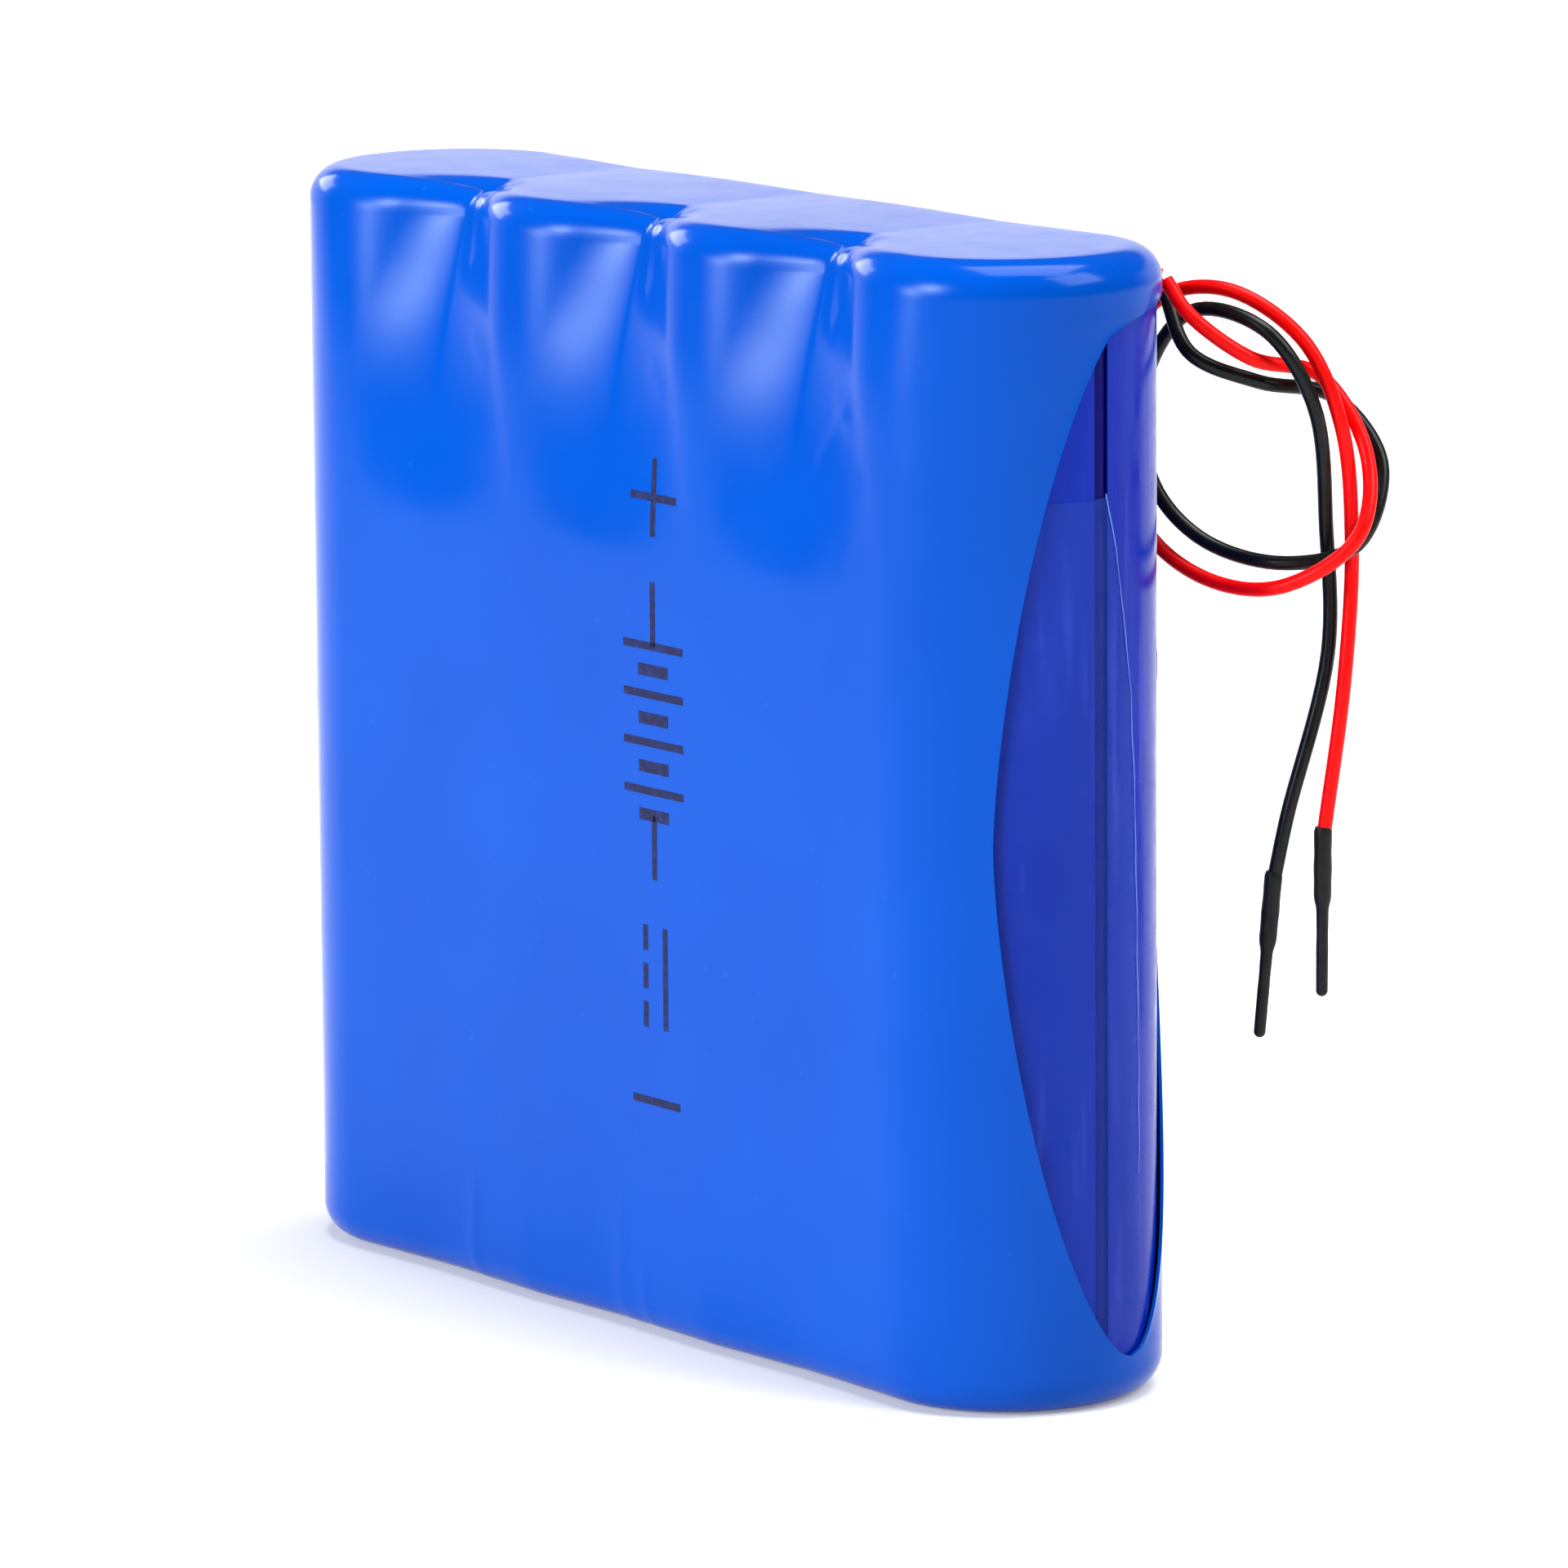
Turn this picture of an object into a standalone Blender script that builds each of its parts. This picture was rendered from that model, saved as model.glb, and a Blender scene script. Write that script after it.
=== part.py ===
"""A four-cell lithium-ion battery pack in a blue shrink sleeve, with two bare-ended leads.

Metres, +Z up. The origin is under the middle of the pack, on the surface it stands on. +X runs along
the row of cells to the end that the leads leave, -Y is the plain front face, and +Y is the back, where
the protection board lies in the valley between the two middle cells.
"""

import math

import bmesh
import bpy
from mathutils import Matrix, Vector

MM = 0.001

# The row of cells
CELL_COUNT = 4
CELL_PITCH = 18.25 * MM
CELL_RADIUS = 9.05 * MM
CELL_LIP = 0.17 * MM  # how far the jacket's folded edge stands past the flat end
CELL_LENGTH = 65.2 * MM  # flat end to the top of the button
CELL_SEGMENTS = 24
SMALL_SEGMENTS = 16

# The stack of sheets under and over the cells, as (lowest, highest)
BOTTOM_PAD_Z = (0.30 * MM, 1.05 * MM)
BOTTOM_PAPER_Z = (1.15 * MM, 1.35 * MM)
NICKEL_MID_Z = 1.525 * MM
CELLS_Z = 1.70 * MM
NICKEL_TOP_Z = 67.245 * MM
TOP_PAPER_Z = (67.42 * MM, 67.62 * MM)
TOP_PAD_Z = (67.72 * MM, 69.05 * MM)
SHEET_RADIUS = 7.9 * MM
SHEET_NECK = 3.0 * MM  # half the width between two cells
LEAD_CHANNEL_SIZE = (60 * MM, 20 * MM, 10 * MM)
LEAD_CHANNEL_CORNER = (-1.2 * MM, 3.8 * MM)
NICKEL_THICKNESS = 0.15 * MM
NICKEL_HALF_WIDTH = 4.0 * MM
STRIP_REACH = 31.0 * MM
# the strips' tabs onto the board: the nearer and the farther edge from the middle, and the far end
OUTER_TAB_X = (1.3 * MM, 2.7 * MM)
OUTER_TAB_END_Z = 57.0 * MM
MIDDLE_TAB_HALF_WIDTH = 1.0 * MM
MIDDLE_TAB_END_Z = 23.0 * MM

# The hot-melt beads in the front valleys
GLUE_SIZE = (5.2 * MM, 3.1 * MM, 50.0 * MM)
GLUE_Y = -6.75 * MM
GLUE_Z = 33.0 * MM
GLUE_GAP = 0.2 * MM  # to the jackets
GLUE_CUTTER_SEGMENTS = 48

# The wrappings round the cells: radius of the round ends, inner and outer
FILM_RADII = (9.11 * MM, 9.19 * MM)
FILM_Z = (2.2 * MM, 67.0 * MM)
FILM_SEAM = math.radians(3.1)
TAPE_RADII = (9.21 * MM, 9.26 * MM)
TAPE_Z = (4.0 * MM, 55.5 * MM)
TAPE_ANGLES = (-52.0, 16.0)
SLEEVE_RADIUS = 9.53 * MM
SLEEVE_WALL = 0.20 * MM
SLEEVE_HEIGHT = 69.5 * MM
SLEEVE_EDGE = 2.0 * MM
END_STEPS = 16

# The lens-shaped openings that the sleeve leaves over the two end cells
OPENING_MIDDLE_Z = 34.5 * MM
OPENING_HALF_HEIGHT = 31.5 * MM
RIGHT_OPENING_CENTRE = 14.0
RIGHT_OPENING_HALF_ANGLE = 57.0
LEFT_OPENING_HALF_ANGLE = 50.0
OPENING_STEPS = 12
CUTTER_START = 0.5 * MM
CUTTER_LENGTH = 15.0 * MM
# where the leads leave, the opening's upper back corner stands open: (angle in degrees, height)
LEAD_CORNER = (
    (77.0, 52.0 * MM),
    (80.0, 60.0 * MM),
    (83.0, 66.0 * MM),
    (81.0, 68.4 * MM),
    (60.0, 68.3 * MM),
    (50.0, 66.5 * MM),
    (35.0, 66.1 * MM),
)

# The protection board in the back valley
BOARD_SIZE = (6.0 * MM, 0.6 * MM, 40.0 * MM)
BOARD_CENTRE = (0.0, 7.5 * MM, 40.0 * MM)
TAB_PLANE_Y = 7.98 * MM
CHIP_GAP = 0.1 * MM  # from the board's inner face
CHIP_BODY = (1.7 * MM, 1.0 * MM, 2.9 * MM)
CHIP_LEG = (0.7 * MM, 0.25 * MM, 0.35 * MM)
CHIP_LEG_PITCH = 0.95 * MM
CHIP_LEG_ROOT = 0.1 * MM  # of each leg's length that lies inside the body
CHIP_LEG_GAP = 0.12 * MM
COVER_SIZE = (8.0 * MM, 0.08 * MM, 37.0 * MM)
COVER_CENTRE = (0.0, 9.02 * MM, 37.5 * MM)
SMALL_CHIP_BODY = (0.8 * MM, 0.45 * MM, 1.6 * MM)
CHIP_HEIGHTS = {
    "pcm_ic": 52.0 * MM,
    "pcm_mosfet_1": 45.0 * MM,
    "pcm_mosfet_2": 39.0 * MM,
}
PASSIVE_HEIGHTS = {
    "pcm_resistor_1": 34.5 * MM,
    "pcm_resistor_2": 31.5 * MM,
    "pcm_capacitor": 28.5 * MM,
}

# The leads. Each route is in millimetres, from where the lead leaves the sleeve to its cap.
LEAD_DIAMETER = 0.9 * MM
LEAD_POINT_SPACING = 2.4 * MM
ROUTE_STEPS = 24
RED_ROUTE = (
    (31.9, 8.9, 67.0),
    (33.4, 9.4, 65.1),
    (35.7, 12.3, 62.4),
    (36.7, 17.0, 61.0),
    (39.4, 18.3, 56.4),
    (40.9, 16.3, 51.8),
    (37.4, 13.3, 48.7),
    (31.7, 11.8, 48.8),
    (26.8, 11.2, 51.7),
    (25.8, 10.8, 58.5),
    (28.0, 11.2, 65.0),
    (32.6, 12.9, 66.2),
    (36.8, 15.4, 63.4),
    (38.6, 16.9, 58.4),
    (38.4, 18.0, 51.2),
    (38.7, 17.2, 42.9),
    (38.2, 16.0, 33.3),
)
BLACK_ROUTE = (
    (30.5, 10.0, 66.0),
    (32.7, 10.1, 62.6),
    (35.0, 13.5, 60.8),
    (36.0, 18.7, 59.5),
    (38.9, 19.9, 55.7),
    (39.6, 17.4, 51.1),
    (36.5, 14.4, 49.9),
    (30.9, 12.4, 51.0),
    (27.6, 11.4, 54.3),
    (27.6, 11.0, 60.5),
    (31.0, 11.7, 64.8),
    (36.4, 13.0, 64.0),
    (38.2, 15.1, 59.6),
    (37.1, 17.1, 51.7),
    (37.4, 17.0, 44.3),
    (36.8, 14.3, 34.5),
    (36.4, 13.6, 30.6),
)
# The held stretch of each lead, from its pad on the board, over the cells, to the opening
RED_INSIDE_ROUTE = (
    (-0.65, 8.4, 53.0),
    (-0.65, 8.4, 60.0),
    (-0.65, 8.3, 64.0),
    (-0.65, 7.9, 66.6),
    (-0.4, 6.9, 67.9),
    (0.8, 5.9, 68.25),
    (2.8, 5.6, 68.25),
    (12.0, 5.4, 68.25),
    (22.0, 5.4, 68.25),
    (26.5, 6.1, 68.25),
    (29.6, 7.2, 68.2),
    (31.0, 8.0, 67.9),
    (31.65, 8.7, 67.25),
)
BLACK_INSIDE_ROUTE = (
    (0.65, 8.4, 50.0),
    (0.65, 8.4, 60.0),
    (0.65, 8.4, 64.0),
    (0.6, 8.3, 66.9),
    (0.65, 7.9, 68.0),
    (1.6, 7.3, 68.3),
    (3.2, 7.0, 68.25),
    (12.0, 6.8, 68.25),
    (20.0, 6.8, 68.25),
    (24.5, 7.1, 68.25),
    (27.2, 7.5, 68.25),
    (29.2, 8.1, 68.1),
    (30.0, 8.9, 67.6),
    (30.42, 9.85, 66.3),
)
RED_TIP = ((38.2, 15.95, 33.0), (38.2, 15.9, 23.5))
BLACK_TIP = ((36.36, 13.55, 30.3), (35.9, 12.9, 21.0))
LEAD_TAPE_SIZE = (5.0 * MM, 3.4 * MM, 0.08 * MM)
LEAD_TAPE_CENTRE = (20.0 * MM, 6.1 * MM, 68.85 * MM)
TIP_SLEEVE_RADIUS = 0.55 * MM
TIP_NOSE_RADIUS = 0.38 * MM
TIP_SLEEVE_SHARE = 0.45  # of the cap's length that lies over the lead's insulation


def clear_scene():
    for obj in list(bpy.data.objects):
        bpy.data.objects.remove(obj)


def new_collection(name):
    collection = bpy.data.collections.new(name)
    bpy.context.scene.collection.children.link(collection)
    return collection


def new_material(name, colour, roughness, metallic=0.0):
    material = bpy.data.materials.new(name)
    material.use_nodes = True
    shader = material.node_tree.nodes["Principled BSDF"]
    shader.inputs["Base Color"].default_value = (*colour, 1.0)
    shader.inputs["Roughness"].default_value = roughness
    shader.inputs["Metallic"].default_value = metallic
    return material


def new_object(name, data, material, collection):
    obj = bpy.data.objects.new(name, data)
    if material:
        obj.data.materials.append(material)
    collection.objects.link(obj)
    return obj


def mesh_object(name, shape, material, collection):
    """An object from a bmesh, whose faces all point outwards."""
    bmesh.ops.recalc_face_normals(shape, faces=shape.faces)
    mesh = bpy.data.meshes.new(name)
    shape.to_mesh(mesh)
    shape.free()
    return new_object(name, mesh, material, collection)


def smooth(obj, angle=35.0):
    obj.data.shade_smooth()
    obj.data.set_sharp_from_angle(angle=math.radians(angle))


def as_cutter(obj):
    obj.hide_render = True
    obj.display_type = "WIRE"
    return obj


def cut(obj, cutter):
    modifier = obj.modifiers.new("cut_" + cutter.name, "BOOLEAN")
    modifier.operation = "DIFFERENCE"
    modifier.object = cutter


def turned(name, profile, material, segments, closed=True):
    """A turned piece: its profile is (radius, height) in millimetres, and runs down its outer side."""
    mesh = bpy.data.meshes.new(name)
    points = [(radius * MM, 0.0, height * MM) for radius, height in profile]
    edges = [(i, i + 1) for i in range(len(points) - 1)]
    if closed:
        edges.append((len(points) - 1, 0))
    mesh.from_pydata(points, edges, [])
    obj = new_object(name, mesh, material, parts)
    screw = obj.modifiers.new("turn", "SCREW")
    screw.steps = screw.render_steps = segments
    screw.use_merge_vertices = True
    screw.merge_threshold = 1e-6
    screw.use_smooth_shade = True
    return obj


def arc(centre_x, radius, start, stop, steps):
    """Points along an arc in the plane Z = 0, with its angles in radians."""
    angles = [start + (stop - start) * i / steps for i in range(steps + 1)]
    return [(centre_x + radius * math.cos(a), radius * math.sin(a)) for a in angles]


def end_cell_x():
    return CELL_PITCH * (CELL_COUNT - 1) / 2


def cell_x(number):
    return CELL_PITCH * (number - (CELL_COUNT + 1) / 2)


def racetrack(radius):
    """The outline of the row of cells, anticlockwise: two straight sides and two round ends."""
    quarter = math.pi / 2
    right = arc(end_cell_x(), radius, -quarter, quarter, END_STEPS)
    left = arc(-end_cell_x(), radius, quarter, 3 * quarter, END_STEPS)
    return right + left


def open_racetrack(radius, seam):
    """The same outline, open at the middle of the +X end by an angle of seam to each side."""
    quarter = math.pi / 2
    step = math.pi / END_STEPS
    upper = arc(end_cell_x(), radius, step, quarter, END_STEPS // 2 - 1)
    left = arc(-end_cell_x(), radius, quarter, 3 * quarter, END_STEPS)
    lower = arc(end_cell_x(), radius, -quarter, -step, END_STEPS // 2 - 1)
    first = arc(end_cell_x(), radius, seam, seam, 1)[:1]
    last = arc(end_cell_x(), radius, -seam, -seam, 1)[:1]
    return first + upper + left + lower + last


def sheet(name, outline, z_range, material):
    """A flat sheet or an upright wall: an outline in the plane Z = 0, thickened between two heights."""
    curve = bpy.data.curves.new(name, "CURVE")
    curve.dimensions = "2D"
    curve.fill_mode = "BOTH"
    curve.extrude = (z_range[1] - z_range[0]) / 2
    spline = curve.splines.new("POLY")
    spline.points.add(len(outline) - 1)
    for point, (x, y) in zip(spline.points, outline):
        point.co = (x, y, 0.0, 1.0)
    spline.use_cyclic_u = True
    obj = new_object(name, curve, material, parts)
    obj.location.z = (z_range[0] + z_range[1]) / 2
    return obj


def prism(name, ring, push, material, collection):
    """A solid whose base is one flat face through the ring's points, pushed along a vector."""
    shape = bmesh.new()
    base = shape.faces.new([shape.verts.new(point) for point in ring])
    pushed = bmesh.ops.extrude_face_region(shape, geom=[base])["geom"]
    verts = [item for item in pushed if isinstance(item, bmesh.types.BMVert)]
    bmesh.ops.translate(shape, vec=push, verts=verts)
    return mesh_object(name, shape, material, collection)


def box(name, size, centre, material, collection=None):
    shape = bmesh.new()
    bmesh.ops.create_cube(shape, size=1.0)
    bmesh.ops.scale(shape, vec=size, verts=shape.verts)
    obj = mesh_object(name, shape, material, collection or parts)
    obj.location = centre
    return obj


def route_curve(points):
    """A smooth curve through the route's points (a centripetal Catmull-Rom spline), sampled finely."""
    knots = [Vector(p) * MM for p in points]
    knots = [2 * knots[0] - knots[1], *knots, 2 * knots[-1] - knots[-2]]
    dense = []
    for p0, p1, p2, p3 in zip(knots, knots[1:], knots[2:], knots[3:]):
        t1 = math.sqrt((p1 - p0).length)
        t2 = t1 + math.sqrt((p2 - p1).length)
        t3 = t2 + math.sqrt((p3 - p2).length)
        for i in range(ROUTE_STEPS):
            t = t1 + (t2 - t1) * i / ROUTE_STEPS
            a1 = p0.lerp(p1, t / t1)
            a2 = p1.lerp(p2, (t - t1) / (t2 - t1))
            a3 = p2.lerp(p3, (t - t2) / (t3 - t2))
            b1 = a1.lerp(a2, t / t2)
            b2 = a2.lerp(a3, (t - t1) / (t3 - t1))
            dense.append(b1.lerp(b2, (t - t1) / (t2 - t1)))
    dense.append(knots[-2])
    return dense


def evenly_spaced(dense, spacing):
    """Points along a dense curve, with about this spacing and with both ends kept."""
    lengths = [0.0]
    for a, b in zip(dense, dense[1:]):
        lengths.append(lengths[-1] + (b - a).length)
    count = max(2, round(lengths[-1] / spacing))
    points = []
    place = 0
    for i in range(count + 1):
        target = lengths[-1] * i / count
        while place < len(dense) - 2 and lengths[place + 1] < target:
            place += 1
        share = (target - lengths[place]) / (lengths[place + 1] - lengths[place])
        points.append(dense[place].lerp(dense[place + 1], share))
    return points


def lead(name, route, material):
    """A lead: a tube along a smooth curve through its route."""
    points = evenly_spaced(route_curve(route), LEAD_POINT_SPACING)
    curve = bpy.data.curves.new(name, "CURVE")
    curve.dimensions = "3D"
    curve.bevel_depth = LEAD_DIAMETER / 2
    curve.bevel_resolution = 2
    curve.use_fill_caps = True
    spline = curve.splines.new("POLY")
    spline.points.add(len(points) - 1)
    for point, place in zip(spline.points, points):
        point.co = (*place, 1.0)
    return new_object(name, curve, material, parts)


def lead_tip(name, ends, material):
    """The shrink-tube cap over a lead's end: a fat stretch, a thin one and a round nose."""
    start, stop = (Vector(p) * MM for p in ends)
    length = (stop - start).length / MM
    fat = TIP_SLEEVE_RADIUS / MM
    thin = TIP_NOSE_RADIUS / MM
    step = -length * TIP_SLEEVE_SHARE
    profile = [(0.0, 0.0), (fat - 0.1, 0.0), (fat, -0.15), (fat, step + 0.3), (thin, step - 0.3)]
    for i in range(4):
        angle = math.pi / 2 * i / 3
        profile.append((thin * math.cos(angle), -length + thin - thin * math.sin(angle)))
    profile[-1] = (0.0, -length)
    obj = turned(name, profile, material, SMALL_SEGMENTS, closed=False)
    obj.location = start
    obj.rotation_mode = "QUATERNION"
    obj.rotation_quaternion = (start - stop).to_track_quat("Z", "Y")
    return obj


# The cell: each profile is in millimetres from the flat end, which is at height 0

JACKET_PROFILE = (
    (7.6, 65.07),
    (8.75, 65.07),
    (9.05, 64.77),
    (9.05, 0.13),
    (8.75, -0.17),
    (7.6, -0.17),
    (7.6, -0.05),
    (8.7, -0.05),
    (8.93, 0.18),
    (8.93, 64.72),
    (8.7, 64.95),
    (7.6, 64.95),
)
CAN_PROFILE = (
    (0.0, 0.3),
    (8.3, 0.3),
    (8.57, 0.6),
    (8.57, 60.9),
    (7.7, 61.6),
    (7.7, 61.9),
    (8.57, 62.6),
    (8.57, 63.9),
    (7.2, 64.25),
    (7.2, 64.55),
    (8.55, 64.55),
    (8.87, 64.2),
    (8.87, 62.7),
    (8.0, 62.0),
    (8.0, 61.5),
    (8.87, 60.8),
    (8.87, 0.4),
    (8.5, 0.0),
    (0.0, 0.0),
)
CORE_PROFILE = ((1.1, 60.2), (8.4, 60.2), (8.4, 0.9), (1.1, 0.9))
GASKET_PROFILE = (
    (8.15, 63.8),
    (8.45, 63.8),
    (8.45, 62.8),
    (6.9, 62.8),
    (6.9, 63.05),
    (8.15, 63.05),
)
CAP_PROFILE = (
    (0.0, 65.2),
    (3.6, 65.2),
    (3.95, 64.95),
    (4.7, 63.7),
    (8.05, 63.7),
    (8.05, 63.15),
    (4.3, 63.15),
    (3.5, 64.6),
    (0.0, 64.6),
)
WASHER_PROFILE = ((4.4, 64.84), (8.7, 64.84), (8.7, 64.66), (4.4, 64.66))


def build_cell(number):
    """One cell: jacket, steel can, wound core, sealing gasket, positive cap and insulating washer."""
    upright = number <= CELL_COUNT // 2
    pieces = (
        ("jacket", JACKET_PROFILE, jacket_blue, CELL_SEGMENTS, True),
        ("can", CAN_PROFILE, steel, CELL_SEGMENTS, False),
        ("core", CORE_PROFILE, core_grey, SMALL_SEGMENTS, True),
        ("gasket", GASKET_PROFILE, gasket_plastic, SMALL_SEGMENTS, True),
        ("cap", CAP_PROFILE, nickel, SMALL_SEGMENTS, False),
        ("washer", WASHER_PROFILE, white_paper, SMALL_SEGMENTS, True),
    )
    holder = bpy.data.objects.new(f"cell_{number}", None)
    parts.objects.link(holder)
    top = CELLS_Z + CELL_LENGTH + CELL_LIP
    holder.location = (cell_x(number), 0.0, CELLS_Z + CELL_LIP if upright else top - CELL_LIP)
    holder.rotation_euler.x = 0.0 if upright else math.pi
    for piece, profile, material, segments, closed in pieces:
        obj = turned(f"cell_{number}_{piece}", profile, material, segments, closed)
        obj.parent = holder


def lobed_outline(radius, neck):
    """A sheet's outline that follows the round cell ends, with straight necks between them."""
    lift = math.asin(neck / radius)
    back = []
    for number in range(CELL_COUNT, 0, -1):
        back += arc(cell_x(number), radius, lift, math.pi - lift, 8)
    front = [(x, -y) for x, y in reversed(back)]
    return back + front


def build_end_sheets():
    """Barley-paper insulators over the nickel strips, and foam pads that round off the ends."""
    outline = lobed_outline(SHEET_RADIUS, SHEET_NECK)
    sheet("bottom_pad", outline, BOTTOM_PAD_Z, foam)
    sheet("bottom_paper", outline, BOTTOM_PAPER_Z, barley_paper)
    sheet("top_paper", outline, TOP_PAPER_Z, barley_paper)
    ring = [(x, y, TOP_PAD_Z[0]) for x, y in outline]
    pad = prism("top_pad", ring, (0.0, 0.0, TOP_PAD_Z[1] - TOP_PAD_Z[0]), foam, parts)
    x, y = LEAD_CHANNEL_CORNER
    channel_centre = (x + LEAD_CHANNEL_SIZE[0] / 2, y + LEAD_CHANNEL_SIZE[1] / 2, TOP_PAD_Z[0])
    channel = box("lead_channel", LEAD_CHANNEL_SIZE, channel_centre, None, cutters)
    cut(pad, as_cutter(channel))


def nickel_strip(name, x_range, tab_x, height, tab_end):
    """A spot-welded strip with a tab folded over the back valley, down or up onto the board."""
    y_front, y_back = -NICKEL_HALF_WIDTH, NICKEL_HALF_WIDTH
    shape = bmesh.new()
    xs = sorted({x_range[0], tab_x[0], tab_x[1], x_range[1]})
    front = [shape.verts.new((x, y_front, height)) for x in xs]
    back = [shape.verts.new((x, y_back, height)) for x in xs]
    for i in range(len(xs) - 1):
        shape.faces.new((front[i], front[i + 1], back[i + 1], back[i]))
    edge = [back[xs.index(tab_x[0])], back[xs.index(tab_x[1])]]
    for y, z in ((TAB_PLANE_Y, height), (TAB_PLANE_Y, tab_end)):
        following = [shape.verts.new((x, y, z)) for x in tab_x]
        shape.faces.new((edge[0], edge[1], following[1], following[0]))
        edge = following
    strip = mesh_object(name, shape, nickel, parts)
    solidify = strip.modifiers.new("thickness", "SOLIDIFY")
    solidify.thickness = NICKEL_THICKNESS
    solidify.offset = 0.0
    solidify.use_even_offset = True


def build_nickel():
    """The strips: each joins a pair of cells at the top, and the middle one joins both pairs below."""
    inner, outer = OUTER_TAB_X
    plus, minus = (-STRIP_REACH, -inner), (inner, STRIP_REACH)
    nickel_strip("nickel_b_plus", plus, (-outer, -inner), NICKEL_TOP_Z, OUTER_TAB_END_Z)
    nickel_strip("nickel_b_minus", minus, (inner, outer), NICKEL_TOP_Z, OUTER_TAB_END_Z)
    reach = (-STRIP_REACH, STRIP_REACH)
    tab = (-MIDDLE_TAB_HALF_WIDTH, MIDDLE_TAB_HALF_WIDTH)
    nickel_strip("nickel_mid", reach, tab, NICKEL_MID_Z, MIDDLE_TAB_END_Z)


def build_glue(number):
    """A bead of hot-melt glue in the front valley after this cell, hollowed by the two cells."""
    centre_x = cell_x(number) + CELL_PITCH / 2
    bead = box(f"cell_glue_{number}", GLUE_SIZE, (centre_x, GLUE_Y, GLUE_Z), glue)
    for side in (number, number + 1):
        shape = bmesh.new()
        radius = CELL_RADIUS + GLUE_GAP
        bmesh.ops.create_cone(
            shape,
            cap_ends=True,
            segments=GLUE_CUTTER_SEGMENTS,
            radius1=radius,
            radius2=radius,
            depth=CELL_LENGTH,
        )
        cutter = mesh_object(f"glue_{number}_from_cell_{side}", shape, None, cutters)
        cutter.location = (cell_x(side), 0.0, GLUE_Z)
        cut(bead, as_cutter(cutter))


def build_chip(name, height):
    """A six-leg chip on the board's inner face, as one solid."""
    face_y = BOARD_CENTRE[1] - BOARD_SIZE[1] / 2
    body_y = face_y - CHIP_GAP - CHIP_BODY[1] / 2
    body = box(name, CHIP_BODY, (0.0, body_y, height), chip_black)
    leg_collection = new_collection(name + "_legs")
    cutters.children.link(leg_collection)
    bpy.context.scene.collection.children.unlink(leg_collection)
    for side in (-1, 1):
        for row in (-1, 0, 1):
            leg_x = side * ((CHIP_BODY[0] + CHIP_LEG[0]) / 2 - CHIP_LEG_ROOT)
            leg_y = face_y - CHIP_LEG_GAP - CHIP_LEG[1] / 2
            centre = (leg_x, leg_y, height + row * CHIP_LEG_PITCH)
            as_cutter(box(f"{name}_leg_{side}_{row}", CHIP_LEG, centre, None, leg_collection))
    union = body.modifiers.new("legs", "BOOLEAN")
    union.operation = "UNION"
    union.operand_type = "COLLECTION"
    union.collection = leg_collection


def build_board():
    """The protection board, its chips on the inner face, and the paper that covers it."""
    box("pcm_board", BOARD_SIZE, BOARD_CENTRE, board_green)
    for name, height in CHIP_HEIGHTS.items():
        build_chip(name, height)
    face_y = BOARD_CENTRE[1] - BOARD_SIZE[1] / 2
    for name, height in PASSIVE_HEIGHTS.items():
        centre = (0.0, face_y - CHIP_GAP - SMALL_CHIP_BODY[1] / 2, height)
        box(name, SMALL_CHIP_BODY, centre, ceramic_tan)
    box("pcm_cover", COVER_SIZE, COVER_CENTRE, barley_paper)


def build_film():
    """The clear film wound round the row, open in a narrow seam at the +X end, and its tape."""
    inner, outer = (open_racetrack(radius, FILM_SEAM) for radius in FILM_RADII)
    sheet("inner_film", outer + inner[::-1], FILM_Z, film_violet)
    inner, outer = (
        arc(end_cell_x(), radius, *map(math.radians, TAPE_ANGLES), 10) for radius in TAPE_RADII
    )
    sheet("seam_tape", outer + inner[::-1], TAPE_Z, film_violet)


def rounded_block(name, radius, z_range, edge, material, collection):
    """The pack's outer form: the racetrack outline made solid, with its top and bottom edges rounded."""
    ring = [(x, y, z_range[0]) for x, y in racetrack(radius)]
    obj = prism(name, ring, (0.0, 0.0, z_range[1] - z_range[0]), material, collection)
    bevel = obj.modifiers.new("edge", "BEVEL")
    bevel.width = edge
    bevel.segments = 3
    bevel.limit_method = "ANGLE"
    bevel.angle_limit = math.radians(60)
    return obj


def lens_side(centre, half_angle, side, steps):
    """One side of a lens-shaped opening, from its lower tip to its upper one, as (degrees, height)."""
    points = []
    for i in range(steps + 1):
        share = math.sin(math.pi / 2 * (2 * i / steps - 1))
        width = (1 - abs(share) ** 1.5) ** 0.55
        height = OPENING_MIDDLE_Z + OPENING_HALF_HEIGHT * share
        points.append((centre + side * half_angle * width, height))
    return points


def opening_cutter(name, outline, facing):
    """A prism that cuts an opening, given as (degrees, height), through one round end of the sleeve."""
    turn = math.radians(facing)
    ring = []
    for angle, height in outline:
        across = SLEEVE_RADIUS * math.sin(math.radians(angle) - turn)
        ring.append((CUTTER_START, across, height))
    obj = prism(name, ring, (CUTTER_LENGTH, 0.0, 0.0), None, cutters)
    obj.matrix_world = Matrix.Translation((end_cell_x(), 0, 0)) @ Matrix.Rotation(turn, 4, "Z")
    return as_cutter(obj)


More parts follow.
